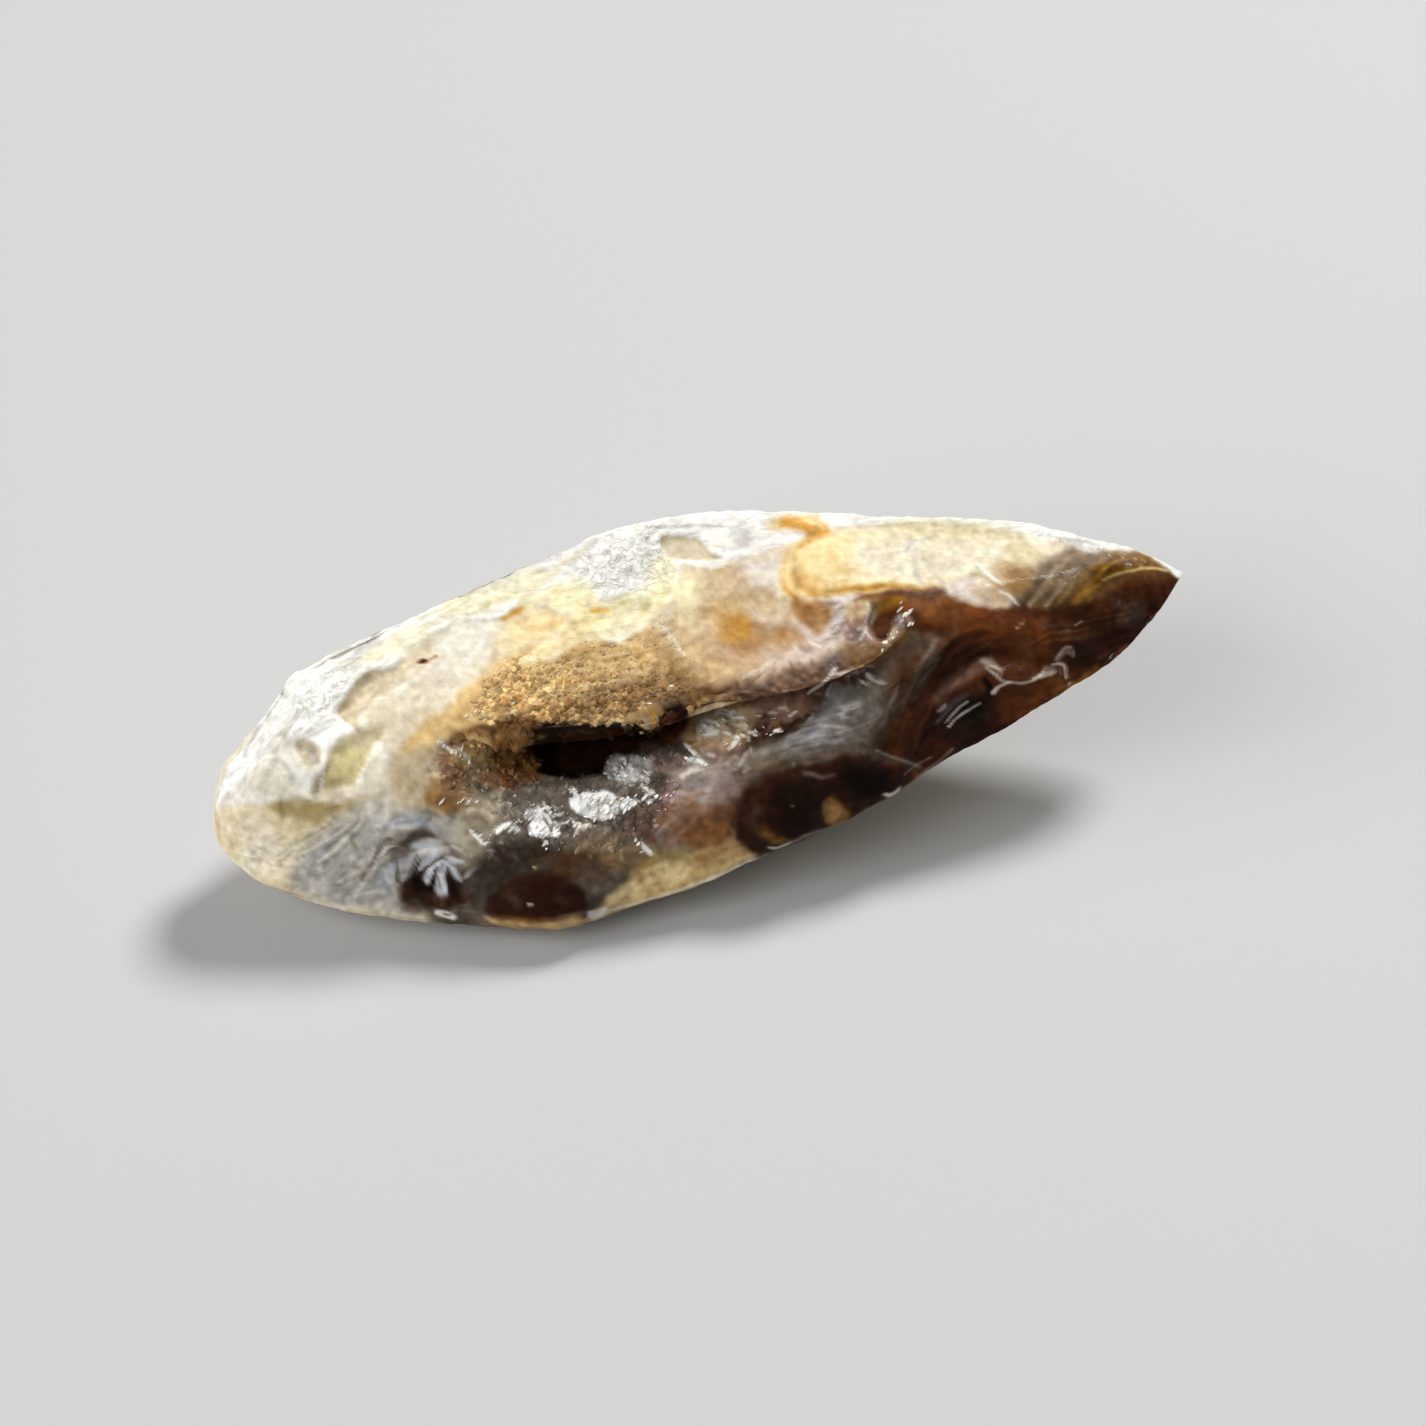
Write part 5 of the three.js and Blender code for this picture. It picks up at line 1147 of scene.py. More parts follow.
def dabs(draw, outline, count, half_width):
    """Short bent strokes scattered over an outline."""
    outline = rounded(outline)
    while count:
        spot = draw.uniform(outline.min(0), outline.max(0))
        if inside(spot[None], outline)[0] > 0:
            turn, reach = draw.uniform(0, np.pi), half_width * draw.uniform(0.5, 2.4)
            ahead = reach * np.array([np.cos(turn), np.sin(turn)])
            middle = spot + draw.normal(0, 0.3 * reach, 2)
            start, end = spot - ahead, spot + ahead
            yield [(*start, 0.4 * half_width), (*middle, half_width), (*end, 0.3 * half_width)]
            count -= 1


def sheaf(draw, first, last, count, half_width):
    """Wavy strokes that run side by side from a first line to a last one."""
    t = np.linspace(0, 1, 9)
    for number in range(count):
        share = (number + draw.rand()) / count
        spots = draw.uniform(0, 0.35) * (1 - t) + draw.uniform(0.65, 1) * t
        near, far = (
            np.stack([np.interp(spots * (len(side) - 1), range(len(side)), column)
                      for column in zip(*side)], -1)
            for side in (first, last)
        )
        wave = np.sin(2 * np.pi * (spots * draw.uniform(0.6, 1.6) + draw.rand()))
        lane = near * (1 - share) + far * share
        lane += half_width * wave[:, None] * draw.uniform(0.5, 1.4, 2)
        widths = half_width * draw.uniform(0.5, 1.4) * (0.25 + 0.75 * np.sin(np.pi * t))
        yield np.column_stack([lane, widths])


def one_by_one(marks):
    """Every mark as single shapes, with its sheaves and its dabs laid out stroke by stroke."""
    draw = np.random.RandomState(5)
    for finish, soft, amount, *shapes in marks:
        if isinstance(finish, str):
            for shape in shapes:
                yield finish, soft, amount, shape
            continue
        strokes, least, most = (dabs, 0.5, 1.2) if len(shapes) == 3 else (sheaf, 0.6, 1.1)
        for stroke in strokes(draw, *shapes):
            one = finish[draw.randint(len(finish))]
            yield one, soft, amount * draw.uniform(least, most), stroke


def blend(under, over, share):
    """A colour laid over another by a share at each point."""
    return under + (np.array(over) - under) * share[..., None]


def painted(place, p):
    """Colour of the broken face and of the rind that laps over it, at chart places, with the painted glints
    and painted shade that are among the marks.
    """
    wander = np.stack([grain(p, 1.5, k) + 0.45 * grain(p, 0.55, k + 2) for k in (1, 2)], -1)
    cloud = grain(p, 1.1, 7, 3)
    tint = np.broadcast_to(FINISHES["sand"], (*place.shape[:-1], 3)).astype(float)
    for finish, soft, amount, points in one_by_one(MARKS + RIND_MARKS):
        share = cover(place + wander * (0.8 + 0.6 * soft), points, soft) * amount
        share = np.clip(share * (1 + 0.35 * cloud * min(soft / 6, 1)), 0, 1)
        tint = blend(tint, FINISHES[finish], share)
    specks = grain(p, 0.42, 8, 2) + 0.8 * (ridges(p * np.array([0.6, 1, 1]), 0.9, 9) - 0.5)
    return tint * (1 + (0.05 + 0.2 * (1 - tint / 255)) * specks[..., None])


# Places carved out of the face or standing on it: height in millimetres, softness of the border,
# and an outline or stroke.
CARVED = [
    (-0.26, 3, [(332, 745), (346, 737), (384, 723), (384, 736), (374, 746), (364, 765), (354, 785),
     (337, 796), (310, 796), (318, 785), (326, 766)]),
    (-0.20, 2, [(298, 740), (312, 743), (319, 752), (318, 768), (306, 770), (297, 755)]),
    (-0.12, 3, [(334, 714), (345, 701), (353, 688), (361, 677), (390, 670), (380, 690), (362, 706),
     (354, 728)]),
    (0.12, 6, [(246, 776), (266, 758), (286, 768), (290, 790), (264, 798)]),
    (-0.16, 4, [(284, 803, 3), (320, 804, 4), (350, 802, 2)]),
    (-0.05, 4, RIND_WINDOW),
    (-0.1, 16, [(706, 600), (742, 590), (752, 628), (744, 648), (716, 646)]),
    (-0.08, 10, [(746, 596), (760, 585), (776, 584), (784, 612), (762, 616)]),
    (-0.55, 5, [(868, 606), (900, 600), (906, 622), (894, 642), (872, 640)]),
    (-0.06, 5, [(968, 572), (984, 572), (1003, 586), (1014, 598), (1006, 610), (984, 604),
     (966, 592)]),
    (0.05, 2.5, [(976, 564, 1), (990, 575, 2), (1004, 584, 1.5)]),
    (-0.22, 4, [(674, 890), (700, 881), (726, 873), (728, 892), (682, 904)]),
    (-0.1, 3, [(620, 904), (636, 899), (642, 912), (622, 916)]),
    (-0.14, 3, [(1140, 636), (1156, 610), (1168, 616), (1154, 650)]),
    (-0.1, 2.5, [(1098, 666), (1112, 656), (1120, 668), (1102, 678)]),
    (-0.1, 2.5, [(1052, 696), (1072, 688), (1078, 700), (1058, 708)]),
    (0.20, 7, [(486, 908), (506, 882), (560, 872), (594, 898), (580, 922), (520, 926)]),
    (0.22, 8, [(740, 810), (770, 780), (812, 772), (826, 800), (812, 832), (764, 850)]),
    (0.16, 8, [(840, 780), (870, 758), (896, 772), (888, 794), (856, 806)]),
    (0.06, 2, [(988, 667, 1), (998, 672, 2), (1006, 680, 2), (1034, 680, 1.5), (1046, 674, 4)]),
    (-0.10, 3, [(888, 772, 3), (908, 715, 4), (930, 672, 4), (952, 646, 4), (985, 634, 3)]),
    (0.08, 2, [(441, 866, 3), (441, 888, 4), (444, 896, 3)]),
    (0.08, 2, [(440, 866, 4), (427, 878, 4)]),
    (0.08, 2, [(456, 862, 4), (460, 876, 3)]),
    (0.10, 3, [(390, 822, 3), (404, 817, 6), (424, 818, 5)]),
    (0.08, 3, [(462, 850, 4), (436, 854, 6), (402, 872, 4)]),
]


# Where the whole stone is worn back at its outline, in the same order.
WORN = [
    (-0.38, 12, [(232, 760), (244, 735), (262, 700), (285, 688), (294, 704), (272, 735),
     (246, 775)]),
    (-0.33, 12, [(300, 640), (340, 612), (400, 580), (460, 552), (520, 530), (572, 512), (584, 550),
     (530, 566), (470, 592), (420, 616), (370, 650), (330, 684), (304, 690)]),
]
# Heights of the relief in millimetres.
SKIN_HEIGHT = 0.07
CRACKLE_HEIGHT, FOLD_HEIGHT, VEIN_HEIGHT, SHELL_VEIN_HEIGHT = 0.11, 0.06, 0.05, 0.07
SUGAR_SIZE, SUGAR_BUMP, SUGAR_STEP, SUGAR_ROLL = 0.3, 0.1, 0.12, 0.1
FINE_HEIGHT, EDGE_HEIGHT = 0.02, 0.05
WAX_HEIGHT, WAX_RIDGE_HEIGHT = 0.07, 0.05
# The lower face ripples in rings round a point (x, z) of the dark end, and flows at the blunt end.
RING_X, RING_Z, RING_STRETCH, RING_GAP, RING_HEIGHT = 12.6, 4.2, 1.25, 2.3, 0.17
FLOW_LENGTH, FLOW_WIDTH, FLOW_LAYER, FLOW_HEIGHT = 2.2, 1.5, 7, 0.2
STREAK_HEIGHT = 0.05


def lumps(p):
    """Larger lumps of the rind."""
    large, small = (lump_noise(*np.moveaxis(p / size, -1, 0)) for size in (3.1, 1.4))
    return 0.3 * large + 0.15 * small


def pits_and_domes(x, way):
    """Height of the broad pits and domes at places along the stone and round it."""
    return sum(
        height * np.exp(-(((x - x0) / rx) ** 2) - ((way - way0) / rw) ** 2)
        for x0, way0, rx, rw, height in PITS_AND_DOMES
    )


def crust_width(x):
    """The quartz crust's width as a share of its full width: it narrows towards both ends."""
    start, end = CRUST_FROM_X - 0.5, CRUST_TO_X + 0.5
    ends = smooth(start, start + 4.5, x) * smooth(end, end - 5.5, x)
    return CRUST_END_WIDTH + (1 - CRUST_END_WIDTH) * ends


def crust_bed(x, way):
    """How deep the bed under the crust lies below the plain stone."""
    ends = smooth(CRUST_FROM_X, CRUST_FROM_X + 2, x) * smooth(CRUST_TO_X, CRUST_TO_X - 2, x)
    sides = smooth(1.1, 1.35, way) * smooth(APRON_END, 2, way)
    thickness = CRUST_THICKNESS * (CRUST_BORDER + (1 - CRUST_BORDER) * ends * sides)
    along_it = smooth(CRUST_FROM_X - 1.2, CRUST_FROM_X, x) * smooth(CRUST_TO_X + 1.2, CRUST_TO_X, x)
    across = CRUST_MIDDLE + (way - CRUST_MIDDLE) / crust_width(x)
    share = along_it * smooth(1.01, 1 + LEDGE_TURN, across)
    share = share * smooth(APRON_END + 0.15, APRON_END, across)
    return share * (BED_CLEARANCE + thickness)


def heights(marks, place):
    """Height at chart places of a list of carved marks (height, softness, shape)."""
    return sum(height * cover(place, shape, soft) for height, soft, shape in marks)


def face_relief(x, way, p, place):
    """Height of the relief on the stone; the share there of rind, creases, sugar and crackle."""
    bent = place + 2.2 * np.stack([grain(p, 0.7, 21), grain(p, 0.7, 22)], -1)
    upper, wall, lower, shell = way <= 1, (way > 1) & (way <= 2), (way > 2) & (way < 3), way >= 3

    # The rind: a skin over the break with a net of cracks and folds.
    lapped = cover(bent, RIND_AREA, 3) * (1 - cover(bent, RIND_WINDOW, 2))
    veins, folds = ridges(p, 0.55, 31), ridges(p * np.array([0.5, 1, 1]), 0.5, 41)
    strong = cover_any(bent, CRACKLED, 8)
    net = strong * CRACKLE_HEIGHT * veins + (1 - strong) * FOLD_HEIGHT * folds
    wrinkles = np.where(upper, net, VEIN_HEIGHT * veins)
    skin = SKIN_HEIGHT * smooth(0, 0.08, way) * (1 - 0.85 * smooth(-1, 3, x)) + wrinkles

    # The broken quartz: carved marks, sugary grains, broad pits and domes.
    carved = heights(CARVED, bent)
    distance, number = crumbs(p, SUGAR_SIZE, 51)
    sugared = cover_any(bent, SUGARED, 6)
    grains = SUGAR_BUMP * (0.75 - distance) + SUGAR_STEP * (number - 0.5)
    coarse = (grains + SUGAR_ROLL * grain(p, 1.1, 52, 2)) * sugared
    broad = pits_and_domes(x, way)
    on_upper = lumps(p) / 2 + lapped * skin + (1 - lapped) * (coarse + broad) + carved

    # The lower face, and the wall above it where the hollow is shallow, show the bands.
    rings = np.hypot(p[..., 0] - RING_X, (p[..., 2] - RING_Z) * RING_STRETCH)
    ripple = RING_HEIGHT * np.sin(2 * np.pi * rings / RING_GAP) * smooth(5, 8, x)
    flow = lump_noise(p[..., 0] / FLOW_LENGTH, FLOW_LAYER, p[..., 2] / FLOW_WIDTH)
    streaks = STREAK_HEIGHT * ridges(p * np.array([0.6, 1, 1.6]), 0.9, 71)
    bands = ripple + FLOW_HEIGHT * flow * smooth(-5, -11, x) + streaks * smooth(-11, -14, x)
    shallow = smooth(1.2, 0.3, along(x[:, 0], HOLLOW_DEPTH))[:, None]
    between = np.maximum(smooth(2, 2.15, way), shallow) * smooth(3, 2.9, way)
    on_wall = lumps(p) / 2 + carved + coarse + (way - 1) * bands + (2 - way) * broad
    on_lower = between * (bands + lumps(p) / 2 + carved + coarse) + smooth(3, 2.95, way) * broad
    on_shell = lumps(p) + SHELL_VEIN_HEIGHT * veins
    on_shell = on_shell * smooth(3, 3.12, way) * smooth(4, 3.88, way)

    # Fine grain everywhere, coarser along the lower edge, and the waxy swell of the blunt end.
    edge_grain = EDGE_HEIGHT * grain(p, 0.9, 65, 2) * smooth(0.25, 0, np.abs(way - 3))
    fine = FINE_HEIGHT * grain(p, 0.5, 61, 2) + edge_grain
    wax = WAX_HEIGHT * grain(p, 1.6, 63, 2) + WAX_RIDGE_HEIGHT * ridges(p, 1.1, 64)
    wax = wax * smooth(-12, -16, x) * (way < 3)
    height = np.select([upper, wall, lower], [on_upper, shallow * on_wall, on_lower], on_shell)
    height = height + heights(WORN, bent) + fine + wax
    ends = smooth(BLUNT_END[0], BLUNT_END[0] + 1.5, x) * smooth(TIP[0], TIP[0] - 2.5, x)

    rind = np.where(upper, lapped, np.where(shell, 1, 0))
    creases = np.where(upper, strong * veins + (1 - strong) * folds, veins)
    sugared = np.where(upper | lower, sugared, 0) * (1 - rind)
    return ends * height, rind, creases, sugared, np.where(upper, strong, 0.3)


# Teeth under the ledge: where they start and end on the chart, how far apart they stand there, and
# their shortest and added length in millimetres. One long tooth stands by itself.
TEETH_START, TEETH_END, TOOTH_GAP = 446, 700, 15
TOOTH_LEAST, TOOTH_MORE = 0.12, 0.34
LONG_TOOTH, LONG_TOOTH_HALF, LONG_TOOTH_MORE = 649, 8, 0.55


def toothed(way, points, place):
    """Crystal teeth that hang from the lip over the slit."""
    lip, sill = (points[:, [np.argmin(np.abs(way - spot))]] for spot in (1, 2))
    down = (sill - lip) / np.maximum(np.linalg.norm(sill - lip, axis=-1, keepdims=True), 0.1)
    spot = place[:, [np.argmin(np.abs(way - 1))], 0]
    uneven = spot + 5 * np.sin(spot / 9.0) + 3 * np.sin(spot / 5.3)
    saw = 1 - np.abs(2 * (uneven / TOOTH_GAP % 1) - 1)
    length = TOOTH_LEAST + TOOTH_MORE * saw * (0.7 + 0.3 * np.sin(spot / 3.7))
    length = length * smooth(TEETH_START, TEETH_START + 24, spot)
    length = length * smooth(TEETH_END, TEETH_END - 30, spot)
    beside_it = np.abs(spot - LONG_TOOTH) / LONG_TOOTH_HALF
    length = length + LONG_TOOTH_MORE * np.maximum(0, 1 - beside_it)
    weight = smooth(0.9, 1, way) * smooth(1.22, 1.1, way)
    return down * (length * weight[None])[..., None]


def stone_points(x, way):
    """Finished points of the stone, and what lies on them: rind, creases, sugar and crackle."""
    plain = plain_stone(x, way)
    place = chart(plain)
    height, *lying = face_relief(x[:, None], way[None, :], plain, place)
    height = height - crust_bed(x[:, None], way[None, :])
    points = plain + outward(x, way) * height[..., None] + toothed(way, plain, place)
    return points, *lying


def in_frame(points, low, high):
    """Maker's millimetres to metres of the frame, kept within the solid's box."""
    return np.clip((points + MAKER_SHIFT) * MM, np.array(low), np.array(high))


def closed_tube(name, points, first, last):
    """A mesh of rings of points, closed to a point at each end."""
    rings, around = points.shape[:2]
    spots = np.vstack([points.reshape(-1, 3), first, last])
    ring = np.arange(around)
    after = (ring + 1) % around
    base = around * np.arange(rings - 1)[:, None]
    quads = np.stack([base + ring, base + after, base + around + after, base + around + ring], -1)
    start, end, last = rings * around, rings * around + 1, (rings - 1) * around
    fans = [(start, b, a) for a, b in zip(ring, after)]
    fans += [(end, last + a, last + b) for a, b in zip(ring, after)]
    mesh = bpy.data.meshes.new(name)
    mesh.from_pydata(spots.tolist(), [], quads.reshape(-1, 4).tolist() + fans)
    mesh.shade_smooth()
    return mesh


def store(mesh, name, values):
    """Stores a number or a colour (0 to 255, as seen) at each point of a mesh."""
    values = np.asarray(values, float)
    kind, field = "FLOAT", "value"
    if values.ndim == 2:
        shade = np.clip(values / 255, 0, 1)
        light = np.where(shade <= 0.04045, shade / 12.92, ((shade + 0.055) / 1.055) ** 2.4)
        values = np.concatenate([light, np.ones((len(light), 1))], 1)
        kind, field = "FLOAT_COLOR", "color"
    stored = mesh.attributes.new(name, kind, "POINT")
    stored.data.foreach_set(field, values.ravel().astype(np.float32))


def with_ends(values, first, last):
    """Values of the rings and of the two end points, in the mesh's order."""
    flat = values.reshape(-1, *values.shape[2:])
    return np.concatenate([flat, [first], [last]])


def placed(name, data):
    """An object of the scene made from a mesh, a light or a camera."""
    made = bpy.data.objects.new(name, data)
    bpy.context.scene.collection.objects.link(made)
    return made


CREASE_SHADE = 0.06
# Stations stand closer together towards both ends.
even = np.linspace(0, 1, STATIONS + 1)[1:-1]
eased = 0.7 * even + 0.15 * (1 - np.cos(np.pi * even))
stations = BLUNT_END[0] + (TIP[0] - BLUNT_END[0]) * eased
ways = np.concatenate([
    number + np.arange(count) / count for number, count in enumerate(STEPS_ROUND.values())])
stone_low, stone_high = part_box("agate_body")
points, rind, creases, sugared, crackled = stone_points(stations, ways)
place = chart(points)

# The rind hides the marks behind the lower edge, and where the hollow runs deep its wall is painted umber:
# painted shade.
mottling = np.clip(0.4 + 0.7 * grain(points, 2.6, 81, 3), 0, 1)
underside = blend(np.array(FINISHES["ivory"]), FINISHES["sand"], mottling)
on_face = np.broadcast_to(smooth(3.04, 3.0, ways), rind.shape)
tint = blend(underside, painted(place, points), on_face)
tint = tint * (1 - CREASE_SHADE * (rind * (1 - creases) ** 2)[..., None])
# Painted shade: deep in the hollow, the wall behind the ledge is blended towards umber.
deep = smooth(1.5, 3.5, along(stations, HOLLOW_DEPTH))[:, None]
shaded_hollow = (smooth(1.02, 1.12, ways) * smooth(1.8, 1.6, ways))[None, :] * deep
tint = blend(tint, FINISHES["umber"], shaded_hollow)

stone_mesh = closed_tube(
    "agate_stone", in_frame(points, stone_low, stone_high),
    *(in_frame(np.array(end), stone_low, stone_high) for end in (BLUNT_END, TIP)))
store(stone_mesh, "tint", with_ends(tint, FINISHES["ivory"], FINISHES["chalk"]))
store(stone_mesh, "rind", with_ends(rind, 1, 1))
upper_face = (ways < 1)[None, :] * smooth(-16, -10, stations)[:, None]
dull = rind + (1 - rind) * np.maximum.reduce([0.5 * sugared, 0.45 * upper_face, shaded_hollow])
store(stone_mesh, "dull", with_ends(dull, 1, 1))
store(stone_mesh, "crackle", with_ends(crackled, 0, 0))
stone = placed("agate_stone", stone_mesh)
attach(stone, "root")
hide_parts("agate_body")


def feed(tree, node, inputs):
    """Gives a node's inputs plain values or the sockets that feed them."""
    for name, value in inputs.items():
        if isinstance(value, bpy.types.NodeSocket):
            tree.links.new(value, node.inputs[name])
        else:
            node.inputs[name].default_value = value


def add(tree, kind, inputs=None, **settings):
    """Adds a node to a tree, with its settings and inputs."""
    made = tree.nodes.new(kind)
    for name, value in settings.items():
        setattr(made, name, value)
    feed(tree, made, inputs or {})
    return made


def maths(tree, operation, *values, kind="ShaderNodeMath"):
    """One step of arithmetic on plain values or sockets."""
    return add(tree, kind, dict(enumerate(values)), operation=operation).outputs[0]


def vector_maths(tree, operation, *values):
    """One step of arithmetic on vectors or colours."""
    return maths(tree, operation, *values, kind="ShaderNodeVectorMath")


def stored_value(tree, name, output="Fac"):
    """The socket that gives what is stored on a mesh under a name."""
    return add(tree, "ShaderNodeAttribute", attribute_name=name).outputs[output]


def new_material(name):
    """A material, its node tree and the shader in it."""
    material = bpy.data.materials.new(name)
    material.use_nodes = True
    return material, material.node_tree, material.node_tree.nodes["Principled BSDF"]


def open_sockets(tree, **sides):
    """Gives a node group its named sockets: INPUT and OUTPUT lists of (name, kind)."""
    for side, sockets in sides.items():
        for name, kind in sockets:
            tree.interface.new_socket(name, in_out=side, socket_type="NodeSocket" + kind)
    return add(tree, "NodeGroupInput").outputs, add(tree, "NodeGroupOutput")


QUARTZ_IOR = 1.54


def mineral_grain():
    """Node group: the fine cloud and grain of quartz, laid over a colour and as a height."""
    tree = bpy.data.node_groups.new("mineral grain", "ShaderNodeTree")
    given, made = open_sockets(
        tree, INPUT=[("Tint", "Color"), ("Fineness", "Float"), ("Depth", "Float")],
        OUTPUT=[("Tint", "Color"), ("Height", "Float")])
    place = add(tree, "ShaderNodeTexCoord").outputs["Object"]
    fine = add(tree, "ShaderNodeTexNoise", {
        "Vector": place, "Scale": given["Fineness"], "Detail": 4.0, "Roughness": 0.65,
    }).outputs["Fac"]
    off = maths(tree, "SUBTRACT", fine, 0.5)
    shade = maths(tree, "MULTIPLY_ADD", off, given["Depth"], 1.0)
    feed(tree, made, {"Tint": vector_maths(tree, "MULTIPLY", given["Tint"], shade), "Height": fine})
    return tree


def grained(tree, group, fineness, depth):
    """The grain's outputs, laid over a mesh's own tint."""
    return add(tree, "ShaderNodeGroup", {
        "Tint": stored_value(tree, "tint", "Color"), "Fineness": fineness, "Depth": depth,
    }, node_tree=group).outputs


def raised(tree, height, strength, distance):
    """The normal of a surface raised by a height."""
    return add(tree, "ShaderNodeBump", {
        "Height": height, "Strength": strength, "Distance": distance}).outputs["Normal"]


def stone_material(name, shine, group):
    """Banded chalcedony: waxy where it is clean, dull and finely cracked on the rind."""
    material, tree, shader = new_material(name)
    place = add(tree, "ShaderNodeTexCoord").outputs["Object"]
    grainy = grained(tree, group, 2600, 0.55)
    drawn_out = vector_maths(tree, "MULTIPLY", place, (0.4, 1.0, 1.0))
    creases = []
    for spot, scale in ((drawn_out, 1500.0), (place, 1900.0)):
        cloud = add(tree, "ShaderNodeTexNoise", {
            "Vector": spot, "Scale": scale, "Detail": 3.0, "Distortion": 0.7}).outputs["Fac"]
        off = maths(tree, "ABSOLUTE", maths(tree, "SUBTRACT", cloud, 0.5))
        creases.append(add(tree, "ShaderNodeMapRange", {
            "Value": off, "From Min": 0.0, "From Max": 0.08, "To Min": 1.0, "To Max": 0.0,
        }).outputs["Result"])
    net = maths(tree, "MULTIPLY", creases[1], stored_value(tree, "crackle"))
    folds = maths(tree, "MULTIPLY_ADD", creases[0], 0.45, net)
    on_rind = maths(tree, "MULTIPLY", folds, stored_value(tree, "rind"))
    greyed = vector_maths(tree, "MULTIPLY_ADD", on_rind, (-0.17, -0.16, -0.2), (1.0, 1.0, 1.0))
    rough = add(tree, "ShaderNodeMapRange", {
        "Value": stored_value(tree, "dull"), "To Min": 0.25, "To Max": 0.75})
    height = maths(tree, "MULTIPLY_ADD", on_rind, -0.8, grainy["Height"])
    feed(tree, shader, {
        "Base Color": vector_maths(tree, "MULTIPLY", grainy["Tint"], greyed),
        "Roughness": rough.outputs["Result"], "Normal": raised(tree, height, 0.7, 0.00006),
        "IOR": QUARTZ_IOR, "Specular IOR Level": shine, "Subsurface Weight": 0.12,
        "Subsurface Radius": (1.0, 0.8, 0.6), "Subsurface Scale": 0.0004})
    return material


grain_group = mineral_grain()
waxy_stone = stone_material("banded chalcedony", 0.16, grain_group)
hollow_wall = stone_material("hollow wall", 0.02, grain_group)
NEARLY_BLACK = 46


def in_two_finishes(mesh, tints):
    """The stone's waxy finish, and the hollow's matt one wherever the colour is nearly black."""
    for finish in (waxy_stone, hollow_wall):
        mesh.materials.append(finish)
    rings, around = tints.shape[:2]
    slots = np.zeros(len(mesh.polygons), int)
    slots[: (rings - 1) * around] = (tints.max(-1) < NEARLY_BLACK)[:-1].ravel()
    mesh.polygons.foreach_set("material_index", slots)


near_hollow = ((ways > 0.85) & (ways < 2.1))[None, :, None]
in_two_finishes(stone_mesh, np.where(near_hollow, tint, 255))

# The quartz crust: a sheet of small smoky crystals that grew inwards over the hollow's wall and out
# over its sill, each a six-sided point. Light catches the faces that lie one way.
CRUST_STATIONS = 210
CRUST_ACROSS = 110
CRUST_BACK = 24
CRUST_OVERHANG = 1.6
CRUST_END = APRON_END + 0.26
CRUST_BACK_DEPTH = 0.3
CRYSTAL_SIZE, CRYSTAL_BUMP, CRYSTAL_STEP = 0.4, 0.1, 0.08
GLINT_FACING = np.array([0.183, -0.266, 0.947])
POINT_LEAN = np.radians(51.8)
SHOULDER = 0.9
HALF_LENGTH = 2.0
# The mouth of the dark cave, and where on the chart the crust's crystals stand free.
CAVE = [
    (546, 722), (660, 712), (676, 700), (692, 708), (688, 735), (664, 748), (620, 757), (606, 772),
    (560, 776), (530, 766), (534, 740),
]
DRUSY = [
    (450, 768), (472, 736), (500, 726), (524, 736), (524, 762), (560, 782), (606, 782), (612, 760),
    (660, 746), (676, 760), (662, 800), (640, 850), (560, 846), (500, 850), (462, 820),
]


def crust_sheet():
    """The crust as rings of points, over the top and back under it; then its top, the direction out
    of it and how thickly crystals stand there."""
    x = np.linspace(CRUST_FROM_X - CRUST_OVERHANG, CRUST_TO_X + CRUST_OVERHANG, CRUST_STATIONS)
    dense = np.linspace(1.0, 2.75, 176)
    plain, out = plain_stone(x, dense), outward(x, dense)
    bed = crust_bed(x[:, None], dense[None, :])
    across = np.linspace(1.0, CRUST_END, CRUST_ACROSS)
    ways = CRUST_MIDDLE + (across[None, :] - CRUST_MIDDLE) * crust_width(x)[:, None]

    def at(values, spots):
        """Values over the dense ways, read at other spots of each station."""
        return np.stack([
            np.stack([np.interp(row, dense, column) for column in block.T], -1)
            for row, block in zip(spots, values)
        ])

    plain_top, normal = at(plain, ways), at(out, ways)
    depth = at(bed[..., None], ways)[..., 0]
    relief = face_relief(x[:, None], ways, plain_top, chart(plain_top))[0]
    top = plain_top + normal * relief[..., None]
    sides = smooth(1.02, 1.25, across) * smooth(APRON_END + 0.12, APRON_END - 0.2, across)
    ends = smooth(x[0], x[0] + 2.5, x) * smooth(x[-1], x[-1] - 2.5, x)
    share = ends[:, None] * sides[None, :]
    drusy = cover(chart(top), DRUSY, 12)
    distance, number = crumbs(top, CRYSTAL_SIZE, 91)
    crystals = CRYSTAL_BUMP * (0.7 - distance) + CRYSTAL_STEP * (number - 0.5)
    rough = 0.1 * grain(top, 1.3, 92, 2) + drusy * crystals
    flat_ends = smooth(x[0], x[0] + 0.3, x) * smooth(x[-1], x[-1] - 0.3, x)
    flat_sides = smooth(1.0, 1.03, across) * smooth(CRUST_END, APRON_END + 0.18, across)
    tucked = 1 - flat_ends[:, None] * flat_sides[None, :]
    over = top + normal * (share * rough - 0.015 - 0.2 * tucked)[..., None]
    back = np.linspace(0, CRUST_ACROSS - 1, CRUST_BACK).round().astype(int)[::-1]
    under = (top - normal * (depth + CRUST_BACK_DEPTH)[..., None])[:, back]
    return np.concatenate([over, under], 1), over, normal, share * drusy


def unit(directions):
    """Directions brought to a length of 1."""
    return directions / np.linalg.norm(directions, axis=-1, keepdims=True)


